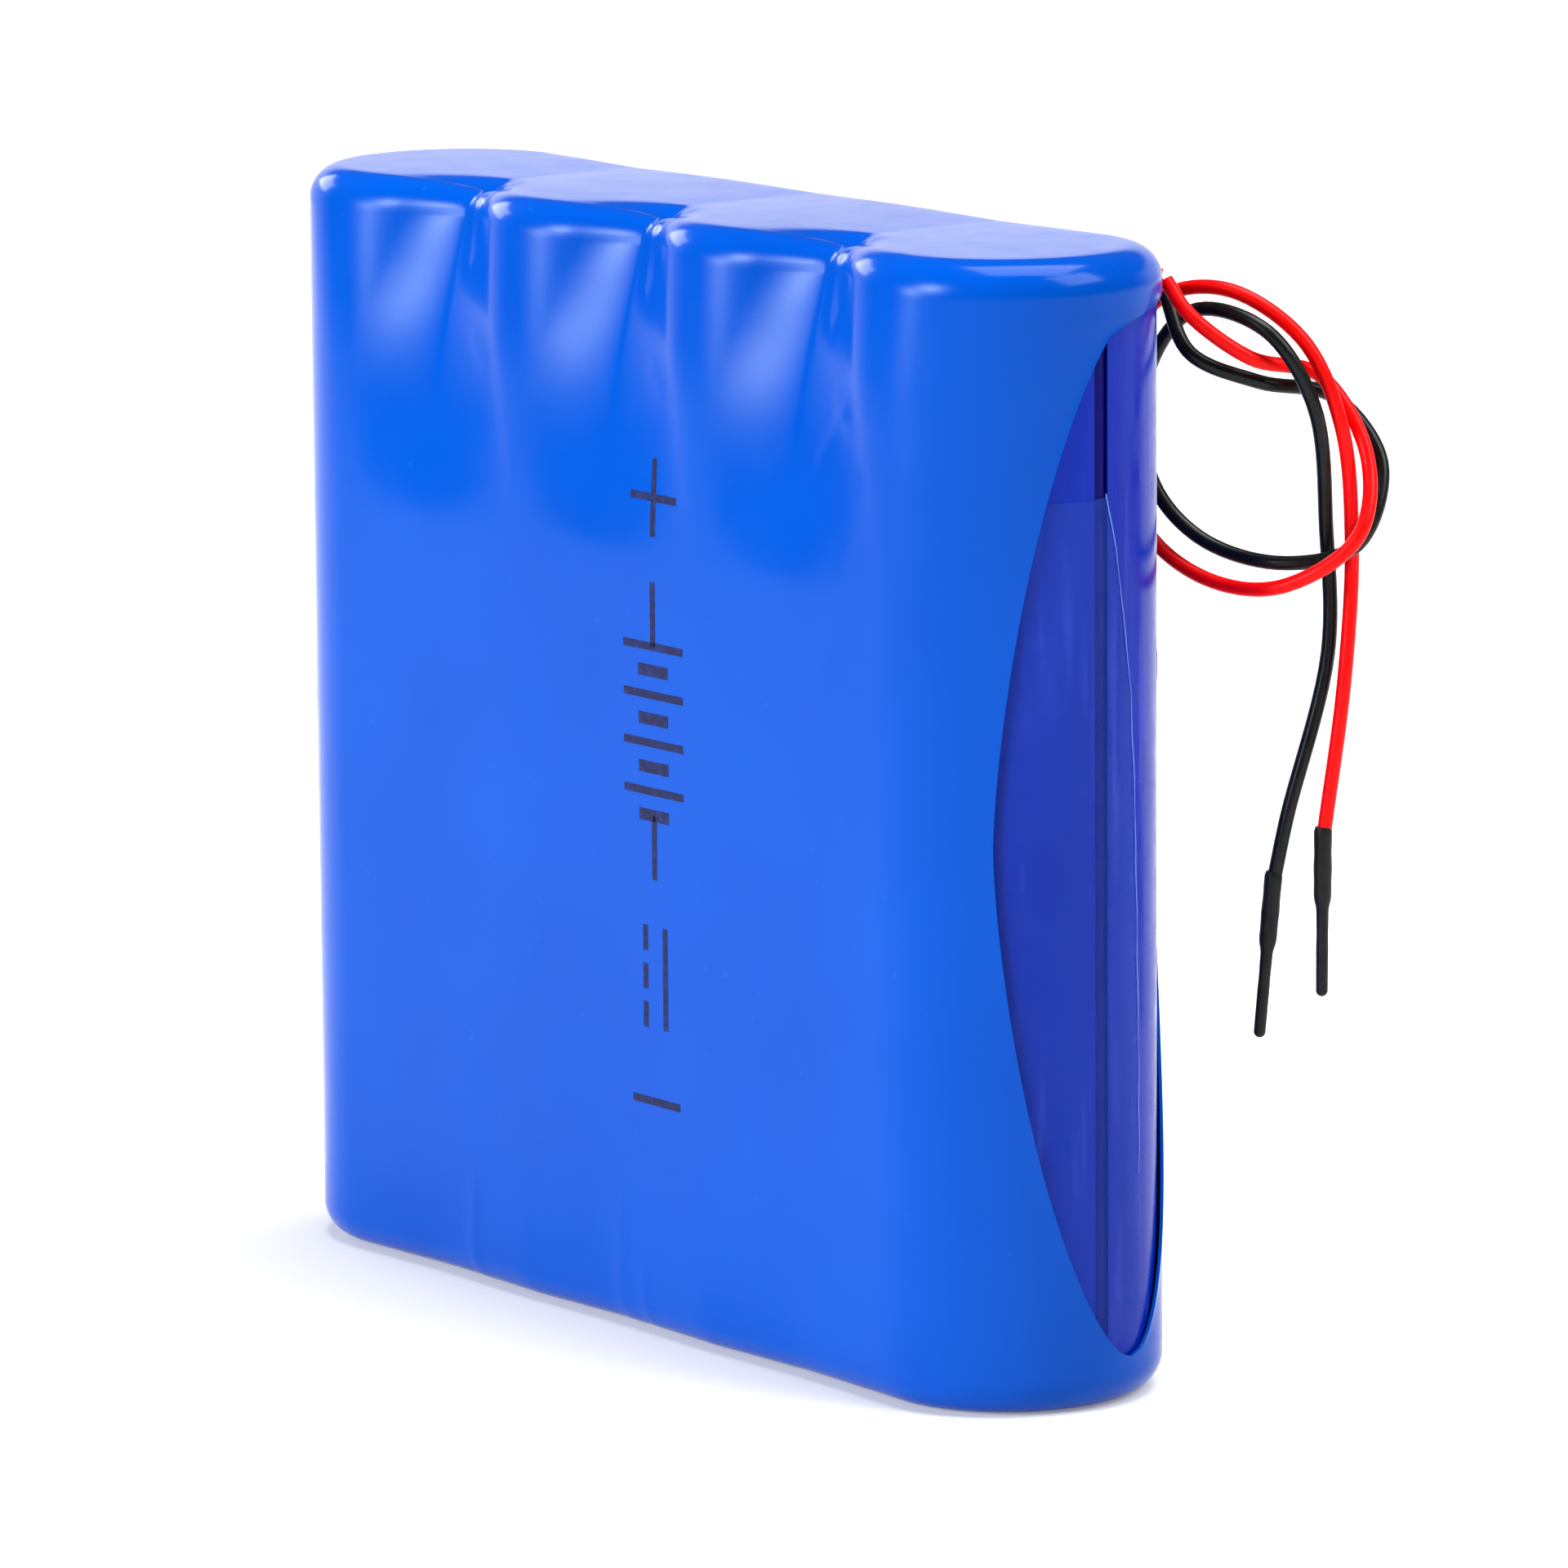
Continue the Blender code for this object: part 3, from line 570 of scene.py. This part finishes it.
def corner_rim(z, start, side, corner):
    """The degrees of a rim of the right opening above this start, where it leaves the lens."""
    first = (start / MM, RIGHT_CENTRE + side * RIGHT_HALF * lens_width(start))
    return between((first, *corner), z / MM)


def right_front_rim(z):
    """The front rim of the right opening: the angle round the end cell, at this height."""
    if z > FRONT_CORNER_START:
        return corner_rim(z, FRONT_CORNER_START, -1, FRONT_CORNER)
    return RIGHT_CENTRE - RIGHT_HALF * lens_width(z)


def right_back_rim(z):
    if z > BACK_CORNER_START:
        return corner_rim(z, BACK_CORNER_START, 1, BACK_CORNER)
    return RIGHT_CENTRE + RIGHT_HALF * lens_width(z)


def stations_at(z):
    """The stations round the row at this height. The two rims of each opening are stations, one after
    the other, and above and below it they fall together."""
    straight_steps, end_steps = SLEEVE_STEPS
    found = []
    for i in range(straight_steps):
        found.append(Station(-END_X + 2 * END_X * i / straight_steps, -90.0))
    front, back = right_front_rim(z), right_back_rim(z)
    found += [Station(END_X, -90 + (front + 90) * i / end_steps) for i in range(end_steps + 1)]
    found += [Station(END_X, back + (90 - back) * i / end_steps) for i in range(end_steps)]
    for i in range(straight_steps):
        found.append(Station(END_X - 2 * END_X * i / straight_steps, 90.0))
    half = LEFT_HALF * lens_width(z)
    found += [Station(-END_X, 90 + (90 - half) * i / end_steps) for i in range(end_steps + 1)]
    found += [Station(-END_X, 180 + half + (90 - half) * i / end_steps) for i in range(end_steps)]
    curl = RIM_FLARE * min(1.0, 2 * lens_width(z))
    for station in found:
        if not station.straight and curl:
            away = min(abs(station.angle - rim) for rim in (front, back, 180 - half, 180 + half))
            station.flare = curl * math.exp(-((math.radians(away) * SLEEVE_RADIUS / RIM_WIDTH) ** 2))
    return found


def side_heights():
    """The heights of the sleeve's rows on its upright sides: close where the openings have their tips."""
    rows = []
    low, high = EDGE, SLEEVE_TOP - EDGE
    for i in range(SIDE_ROWS + 1):
        even = i / SIDE_ROWS
        crowded = 0.5 - 0.5 * math.cos(math.pi * i / SIDE_ROWS)
        rows.append(low + (high - low) * (SIDE_CROWDING * crowded + (1 - SIDE_CROWDING) * even))
    return rows


def sleeve_rows():
    """Each row of the sleeve as (height, inset from the outline, share of the way to the middle line,
    which end), from the middle of the bottom round to the middle of the top."""
    face_steps, edge_steps = 10, 9
    reach = SLEEVE_RADIUS - EDGE
    rows = []
    for i in range(face_steps):
        rows.append((0.0, EDGE + reach * (1 - i / face_steps), 1 - i / face_steps, -1))
    for i in range(edge_steps):
        turn = math.pi / 2 * i / edge_steps
        rows.append((EDGE * (1 - math.cos(turn)), EDGE * (1 - math.sin(turn)), 0.0, -1))
    rows += [(z, 0.0, 0.0, 0) for z in side_heights()]
    for i in range(1, edge_steps + 1):
        turn = math.pi / 2 * i / edge_steps
        z = SLEEVE_TOP - EDGE + EDGE * math.sin(turn)
        rows.append((z, EDGE * (1 - math.cos(turn)), 0.0, 1))
    for i in range(1, face_steps + 1):
        rows.append((SLEEVE_TOP, EDGE + reach * i / face_steps, i / face_steps, 1))
    return rows


def sleeve_point(station, z, inset, middle_share, end):
    """A point of the sleeve's outer face."""
    side_z = min(max(z, EDGE), SLEEVE_TOP - EDGE)
    depth = lean_at(side_z, station.angle)
    if station.straight:
        depth += side_depth(station.x, side_z, station.back, SLEEVE_RADIUS)
        if not station.back:
            depth -= pucker(station.x, side_z)
    outline = SLEEVE_RADIUS - depth + station.flare
    if inset <= EDGE:
        radius = outline - inset
    else:
        radius = (outline - EDGE) * (1 - middle_share)
    x = station.x + station.out[0] * radius
    y = station.out[1] * radius
    if end > 0:
        edge_share = min(1.0, inset / EDGE)
        z -= edge_share * end_height(x, middle_share, station.back)
        nearest = min(CELLS, key=lambda cell: abs(x - cell))
        away = math.hypot(x - nearest, y) / SLEEVE_RADIUS
        z += DOME * edge_share * max(0.0, 1 - away**2)
    elif end < 0:
        edge_share = min(1.0, inset / EDGE)
        z += BOTTOM_SAG * edge_share * (1 - middle_share) * end_height(x, 0.5, station.back)
    return Vector((x, y, z))


def loft(rows_of_points, closed):
    """A mesh of quads through rows of points; each row goes all the way round if closed."""
    count = len(rows_of_points[0])
    verts = [point for row in rows_of_points for point in row]
    faces = []
    for r in range(len(rows_of_points) - 1):
        for c in range(count if closed else count - 1):
            following = (c + 1) % count
            low, high = r * count, (r + 1) * count
            faces.append((low + c, low + following, high + following, high + c))
    return verts, faces


def sleeve_piece(material):
    """The shrink sleeve, lofted from row to row and open between each opening's rims."""
    rows = []
    for z, inset, middle_share, end in sleeve_rows():
        rows.append([sleeve_point(place, z, inset, middle_share, end) for place in stations_at(z)])
    verts, faces = loft(rows, True)
    count = len(rows[0])
    straight_steps, end_steps = SLEEVE_STEPS
    gaps = (straight_steps + end_steps, 2 * straight_steps + 3 * end_steps + 1)
    faces = [face for face in faces if face[0] % count not in gaps]
    mesh = new_mesh("outer_sleeve_film", verts, faces)
    face_outwards(mesh, WELD)
    piece = add_object("sleeve", mesh, material, "sleeve_blue", "outer_sleeve")
    thicken(piece, SLEEVE_WALL)
    smooth(piece.data)
    return piece


# ---------------------------------------------------------------- film and tape

def film_outline():
    """The places round the row, as (x, degrees), from the seam's back edge round to its front edge."""
    steps, end_steps, _ = FILM_STEPS
    quarter = 90 - FILM_SEAM
    ahead = [(END_X, -90 + quarter * i / end_steps) for i in range(end_steps + 1)]
    front = [(-END_X + 2 * END_X * i / steps, -90.0) for i in range(steps)]
    left = [(-END_X, 270 - 180 * i / end_steps) for i in range(end_steps)]
    back = [(END_X - 2 * END_X * i / steps, 90.0) for i in range(steps, 0, -1)]
    behind = [(END_X, 90 - quarter * i / end_steps) for i in range(end_steps + 1)]
    return [*reversed(ahead), *reversed(front), *reversed(left), *back, *behind]


def film_point(x, angle, z):
    station = Station(x, angle)
    radius = FILM_RADII[1] - lean_at(z, angle)
    if station.straight:
        radius -= side_depth(x, z, station.back, FILM_RADII[1])
    return Vector((x + station.out[0] * radius, station.out[1] * radius, z))


def film_piece(material):
    """The film round the row, open in a narrow seam at the right end."""
    outline = film_outline()
    steps = FILM_STEPS[2]
    heights = [FILM_Z[0] + (FILM_Z[1] - FILM_Z[0]) * i / steps for i in range(steps + 1)]
    rows = [[film_point(x, angle, z) for x, angle in outline] for z in heights]
    verts, faces = loft(rows, False)
    mesh = new_mesh("inner_film_sheet", verts, [face[::-1] for face in faces])
    piece = add_object("film_wrap", mesh, material, "film_violet", "inner_film")
    thicken(piece, FILM_RADII[1] - FILM_RADII[0])
    smooth(piece.data)
    return piece


def tape_edge_angle(z):
    """The tape's free edge, which bows out downwards and wavers a little."""
    waver = 0.35 * math.sin(z / (0.9 * MM)) * math.sin(z / (3.7 * MM))
    return between(TAPE_BOW, z / MM) + waver


def tape_point(across, z, lift=0.0):
    """A point of the tape: across runs from 0 at its front edge to 1 at its free edge."""
    angle = math.radians(TAPE_FRONT + (tape_edge_angle(z) - TAPE_FRONT) * across)
    radius = TAPE_RADIUS + lift
    return Vector((END_X + radius * math.cos(angle), radius * math.sin(angle), z))


def tape_piece(material):
    """The second layer of film over the seam; its top edge is a little uneven."""
    across_steps, up_steps = TAPE_STEPS
    rows = []
    for i in range(up_steps + 1):
        row = []
        for j in range(across_steps + 1):
            across = j / across_steps
            top = TAPE_Z[1] + 0.2 * MM * math.sin(5 * across) - 0.9 * MM * (1 - across)
            row.append(tape_point(across, TAPE_Z[0] + (top - TAPE_Z[0]) * i / up_steps))
        rows.append(row)
    mesh = new_mesh("seam_tape_sheet", *loft(rows, False))
    piece = add_object("tape_layer", mesh, material, "film_violet", "seam_tape")
    thicken(piece, TAPE_WALL)
    smooth(piece.data)
    return piece


def tape_edge_piece(material):
    """The edge of the tape, as a fine bead along its free side, painted a pale bright blue as a
    highlight.
    """
    rise = TAPE_Z[1] - TAPE_BEAD_START
    heights = [TAPE_BEAD_START + rise * i / TAPE_BEAD_STEPS for i in range(TAPE_BEAD_STEPS + 1)]
    places = [tape_point(1.0, z, -0.01 * MM) for z in heights]
    curve = round_wire("tape_edge_bead", places, TAPE_BEAD, 2)
    for point, z in zip(curve.splines[0].points, heights):
        point.radius = 0.5 + 0.5 * abs(math.sin(z / (2.3 * MM)))
    return add_object("tape_edge", curve, material, "film_violet")


# ---------------------------------------------------------------- the leads

def route_curve(points, steps):
    """A smooth curve through the route's points (a centripetal Catmull-Rom spline), as places on it."""
    knots = [Vector(p) * MM for p in points]
    knots = [2 * knots[0] - knots[1], *knots, 2 * knots[-1] - knots[-2]]
    dense = []
    for p0, p1, p2, p3 in zip(knots, knots[1:], knots[2:], knots[3:]):
        t1 = math.sqrt((p1 - p0).length)
        t2 = t1 + math.sqrt((p2 - p1).length)
        t3 = t2 + math.sqrt((p3 - p2).length)
        for i in range(steps):
            t = t1 + (t2 - t1) * i / steps
            a1 = p0.lerp(p1, t / t1)
            a2 = p1.lerp(p2, (t - t1) / (t2 - t1))
            a3 = p2.lerp(p3, (t - t2) / (t3 - t2))
            b1 = a1.lerp(a2, t / t2)
            b2 = a2.lerp(a3, (t - t1) / (t3 - t1))
            dense.append(b1.lerp(b2, (t - t1) / (t2 - t1)))
    dense.append(knots[-2])
    return dense


def lead_piece(name, route, material, record_slot, node):
    points = route_curve(route, LEAD_STEPS)
    curve = round_wire(name + "_line", points, LEAD_DIAMETER / 2, 5)
    curve.use_fill_caps = True
    curve.splines[0].use_smooth = True
    piece = add_object(name, curve, material, record_slot, node)
    return piece


def cap_profile(length):
    """A shrink cap's outline, as (radius, place along it)."""
    fat, thin = CAP_RADII
    _, steps, nose_steps = CAP_STEPS
    profile = []
    for i in range(steps + 1):
        along = i / steps
        step = 1 / (1 + math.exp((along - CAP_STEP_PLACE) * CAP_STEP_STEEPNESS))
        ripples = 1 + 0.025 * math.sin(along * 31) * math.sin(along * 7.3)
        mouth = min(1.0, 0.86 + along * 6)
        profile.append(((thin + (fat - thin) * step) * ripples * mouth, along * (length - thin)))
    for i in range(1, nose_steps):
        turn = math.pi / 2 * i / nose_steps
        profile.append((thin * math.cos(turn), length - thin + thin * math.sin(turn)))
    return profile


def tip_piece(name, ends, material, node):
    """A shrink cap: snug over the lead, stepped down over the bare end, with soft ripples and a nose."""
    start, stop = (Vector(p) * MM for p in ends)
    start += (start - stop).normalized() * CAP_OVERLAP
    turn = (stop - start).to_track_quat("Z", "Y").to_matrix()
    segments = CAP_STEPS[0]
    rows = []
    for radius, along in cap_profile((stop - start).length):
        row = []
        for j in range(segments):
            angle = 2 * math.pi * j / segments
            row.append(start + turn @ Vector((radius * math.cos(angle), radius * math.sin(angle), along)))
        rows.append(row)
    verts, faces = loft(rows, True)
    verts += [start, stop]
    last = (len(rows) - 1) * segments
    for j in range(segments):
        following = (j + 1) % segments
        faces.append((len(verts) - 2, following, j))
        faces.append((len(verts) - 1, last + j, last + following))
    mesh = new_mesh(name + "_shell", verts, faces)
    face_outwards(mesh)
    smooth(mesh, 60.0)
    return add_object(name, mesh, material, "tip_black", node)


# ---------------------------------------------------------------- the printed marks

def front_point(x, z):
    """A point just over the sleeve's front face."""
    depth = side_depth(x, z, False, SLEEVE_RADIUS)
    return Vector((x, -(SLEEVE_RADIUS - depth) - INK_LIFT, z))


def stroke_mesh(strokes):
    """Flat ink strokes, each from one (x, z) place to another and this wide, that follow the sleeve."""
    verts, faces = [], []
    for (x0, z0), (x1, z1), width in strokes:
        length = math.hypot(x1 - x0, z1 - z0)
        steps = max(2, round(length / STROKE_STEP))
        side = (-(z1 - z0) / length * width / 2, (x1 - x0) / length * width / 2)
        first = len(verts)
        for i in range(steps + 1):
            x = x0 + (x1 - x0) * i / steps
            z = z0 + (z1 - z0) * i / steps
            verts.append(front_point(x - side[0], z - side[1]))
            verts.append(front_point(x + side[0], z + side[1]))
        for i in range(steps):
            a = first + 2 * i
            faces.append((a, a + 2, a + 3, a + 1))
    return verts, faces


def print_piece(material):
    """Generic marks in a column: plus, the symbol of a battery, that of direct current, and minus."""
    strokes = []

    def across(z, share, width=STROKE):
        half = PRINT_HALF_WIDTH * share
        strokes.append(((PRINT_X - half, z), (PRINT_X + half, z), width))

    def down(z0, z1, x=0.0, width=STROKE):
        strokes.append(((PRINT_X + x, z0), (PRINT_X + x, z1), width))

    across(PRINT_TOP - 2.4 * MM, 0.8)
    down(PRINT_TOP, PRINT_TOP - 4.8 * MM)
    z = PRINT_TOP - 7.6 * MM
    down(z, z - 4.0 * MM)
    z -= 4.0 * MM
    for _ in range(BATTERY_CELLS):
        across(z, 1.0)
        across(z - 1.5 * MM, 0.5, STROKE * 1.5)
        z -= 3.0 * MM
    down(z + 1.5 * MM, z - 2.5 * MM)
    z -= 5.4 * MM
    down(z, z - 6.4 * MM, 1.0 * MM)
    for i in range(3):
        down(z - 2.4 * MM * i, z - 1.6 * MM - 2.4 * MM * i, -1.0 * MM)
    across(PRINT_MINUS, 0.8)
    mesh = new_mesh("printed_marks_ink", *stroke_mesh(strokes))
    piece = add_object("printed_marks", mesh, material, "sleeve_blue")
    thicken(piece, 1.6 * INK_LIFT)
    return piece


# ---------------------------------------------------------------- the scene

# The world, with places as (azimuth, elevation): a low white wall behind the pack, soft glows in front
# of it as (place, brightness, tightness), and what the rest shines with
WALL, WALL_BRIGHT = (-128.0, 5.0), 1.1
WALL_SIDES, WALL_TOP = (0.35, 0.75), (0.24, 0.36)  # where it fades in sideways, and out upwards
GLOWS = (((-7.0, 18.0), 36.0, 60.0), ((-23.0, 5.0), 19.0, 70.0))
WORLD_DIM = 0.07
# The floor is a wide disc whose edge comes nearest at the front left, so that the top of the front face
# mirrors the dim room beyond it
FLOOR_RADIUS, FLOOR_NEAR, FLOOR_NEAR_AZIMUTH = 3.0, 0.45, -52.0
# The lights, in metres and watts: name, azimuth, elevation, distance, size, power
SOFTBOXES = (
    ("top_softbox", 150.0, 80.0, 2.0, (1.4, 1.4), 60.0),
    ("right_softbox", 118.0, 42.0, 1.0, (0.5, 0.5), 7.5),
    ("left_softbox", -88.0, 21.0, 0.9, (0.42, 0.24), 1.9),
)
LIGHTS_AIM = Vector((0, 0, 35 * MM))


def softbox(name, azimuth, elevation, distance, size, power):
    light = bpy.data.lights.new(name, "AREA")
    light.shape = "RECTANGLE"
    light.size, light.size_y = size
    light.energy = power
    lamp = bpy.data.objects.new(name, light)
    bpy.context.scene.collection.objects.link(lamp)
    back = direction(azimuth, elevation)
    lamp.location = LIGHTS_AIM + back * distance
    lamp.rotation_mode = "QUATERNION"
    lamp.rotation_quaternion = back.to_track_quat("Z", "Y")


def make_world():
    """Studio surroundings: a low white wall behind the pack, a soft glow in front, dim elsewhere."""
    world = bpy.data.worlds.new("studio")
    bpy.context.scene.world = world
    world.use_nodes = True
    tree = world.node_tree

    def node(kind, **values):
        made = tree.nodes.new("ShaderNode" + kind)
        for name, value in values.items():
            setattr(made, name, value)
        return made

    def ranged(source, start, stop, low, high):
        made = node("MapRange", interpolation_type="SMOOTHSTEP")
        tree.links.new(source, made.inputs["Value"])
        for name, value in map_range(start, stop, low, high).items():
            made.inputs[name].default_value = value
        return made.outputs["Result"]

    def combined(operation, first, second):
        made = node("Math", operation=operation)
        for source, place in ((first, made.inputs[0]), (second, made.inputs[1])):
            if isinstance(source, float):
                place.default_value = source
            else:
                tree.links.new(source, place)
        return made.outputs["Value"]

    def towards(place):
        made = node("VectorMath", operation="DOT_PRODUCT")
        made.inputs[1].default_value = direction(*place)
        tree.links.new(way, made.inputs[0])
        return made.outputs["Value"]

    way = node("TexCoord").outputs["Generated"]
    split = node("SeparateXYZ")
    tree.links.new(way, split.inputs["Vector"])
    wall = ranged(towards(WALL), *WALL_SIDES, 0.0, WALL_BRIGHT)
    wall = combined("MULTIPLY", wall, ranged(split.outputs["Z"], *WALL_TOP, 1.0, 0.0))
    strength = combined("ADD", wall, WORLD_DIM)
    for place, brightness, tightness in GLOWS:
        glow = combined("POWER", combined("MAXIMUM", towards(place), 0.0), tightness)
        strength = combined("ADD", strength, combined("MULTIPLY", glow, brightness))
    tree.links.new(strength, tree.nodes["Background"].inputs["Strength"])
    tree.nodes["Background"].inputs["Color"].default_value = (0.97, 0.98, 1.0, 1.0)


def make_stage():
    shape = bmesh.new()
    bmesh.ops.create_circle(shape, cap_ends=True, segments=192, radius=FLOOR_RADIUS)
    mesh = bpy.data.meshes.new("floor")
    shape.to_mesh(mesh)
    shape.free()
    floor = bpy.data.objects.new("floor", mesh)
    bpy.context.scene.collection.objects.link(floor)
    floor.location = -direction(FLOOR_NEAR_AZIMUTH, 0.0) * (FLOOR_RADIUS - FLOOR_NEAR)
    look = Look("floor_paper")
    paper = look.spread(look.noise(0.25, 2.0), 0.0, 1.0)
    look.colour(look.mix(paper, (0.62, 0.62, 0.63), (0.64, 0.64, 0.64)))
    look.set(Roughness=0.9, Specular_IOR_Level=0.0, Emission_Strength=0.22, Emission_Color=(1, 1, 1, 1))
    mesh.materials.append(look.material)


def repaint_nodes(looks):
    """Gives each CAD node that stays its procedural material."""
    for name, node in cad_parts.items():
        kind = name.split("_", 2)[2] if name.startswith("cell_") and name[5].isdigit() else name
        material = looks.get(kind)
        if material:
            node.data.materials.clear()
            node.data.materials.append(material)


# ---------------------------------------------------------------- making it all

bpy.context.scene.view_settings.view_transform = "Standard"

make_camera()

red_pvc = plastic_look(
    "red_lead_pvc", (0.86, 0.001, 0.001), (0.95, 0.003, 0.003), 1.5 * MM, (0.28, 0.40), gloss=0.12
)
black_pvc = plastic_look(
    "black_lead_pvc", (0.002, 0.003, 0.003), (0.006, 0.007, 0.007), 1.5 * MM, (0.24, 0.36), gloss=0.2
)
tip_shrink = plastic_look(
    "black_shrink_cap", (0.003, 0.003, 0.003), (0.008, 0.008, 0.008), 0.9 * MM, (0.38, 0.55), gloss=0.2
)
red_tip = tip_piece("red_lead_cap", RED_TIP, tip_shrink, "lead_red_tip")
black_tip = tip_piece("black_lead_cap", BLACK_TIP, tip_shrink, "lead_black_tip")
lead_piece("red_lead", RED_ROUTE, red_pvc, "lead_red_pvc", "lead_red")
lead_piece("black_lead", BLACK_ROUTE, black_pvc, "lead_black_pvc", "lead_black")

sleeve_piece(sleeve_look())
film_piece(film_look("violet_film", (0.001, 0.020, 0.33), (0.0, 0.012, 0.26)))
tape_piece(film_look("violet_tape", (0.030, 0.080, 0.54), (0.018, 0.056, 0.43), 0.15))
# the tape's edge bead is painted a pale, bright blue: a painted highlight along the edge
tape_edge_piece(film_look("tape_edge_painted_highlight", (0.22, 0.32, 0.85), (0.14, 0.22, 0.70)))
print_piece(ink_look())

steel = metal_look("nickel_plated_steel", (0.50, 0.50, 0.52), (0.66, 0.66, 0.68), (1.0, 1.0, 0.04))
strip = metal_look("rolled_nickel", (0.60, 0.58, 0.54), (0.76, 0.74, 0.70), (0.04, 1.0, 1.0))
barley = paper_look("barley_paper", (0.22, 0.30, 0.18), (0.42, 0.52, 0.36))
washer = paper_look("white_washer_paper", (0.70, 0.70, 0.66), (0.88, 0.88, 0.85))
foam = foam_look("closed_cell_foam")
chip = plastic_look("chip_epoxy", (0.010, 0.010, 0.010), (0.030, 0.030, 0.030), 0.6 * MM, (0.45, 0.6))
ceramic = plastic_look("fired_ceramic", (0.36, 0.25, 0.13), (0.50, 0.36, 0.22), 0.4 * MM, (0.4, 0.6))
glue = plastic_look(
    "hot_melt_glue", (0.62, 0.58, 0.44), (0.84, 0.82, 0.70), 3 * MM, (0.3, 0.45), depth=0.1 * MM
)
jacket = plastic_look(
    "navy_jacket", (0.0, 0.0, 0.075), (0.001, 0.001, 0.12), 6 * MM, (0.28, 0.42), gloss=0.08
)
core = plastic_look("wound_core", (0.05, 0.05, 0.055), (0.14, 0.14, 0.15), 0.5 * MM, (0.5, 0.7))
gasket = plastic_look("gasket_resin", (0.62, 0.66, 0.70), (0.80, 0.83, 0.85), 1 * MM, (0.35, 0.5))
board = plastic_look("board_mask", (0.008, 0.10, 0.03), (0.02, 0.17, 0.06), 2 * MM, (0.25, 0.4))
amber = plastic_look("amber_tape", (0.48, 0.18, 0.02), (0.66, 0.29, 0.05), 2 * MM, (0.2, 0.3))
wearers = (
    (jacket, "jacket"),
    (steel, "can cap"),
    (core, "core"),
    (gasket, "gasket"),
    (washer, "washer"),
    (glue, "cell_glue_1 cell_glue_2 cell_glue_3"),
    (strip, "nickel_b_plus nickel_b_minus nickel_mid"),
    (barley, "top_paper bottom_paper pcm_cover"),
    (foam, "top_pad bottom_pad"),
    (board, "pcm_board"),
    (chip, "pcm_ic pcm_mosfet_1 pcm_mosfet_2"),
    (ceramic, "pcm_resistor_1 pcm_resistor_2 pcm_capacitor"),
    (amber, "lead_tape"),
    (red_pvc, "lead_red_inside"),
    (black_pvc, "lead_black_inside"),
)
looks = {name: material for material, names in wearers for name in names.split()}
repaint_nodes(looks)

make_world()
make_stage()
for box in SOFTBOXES:
    softbox(*box)
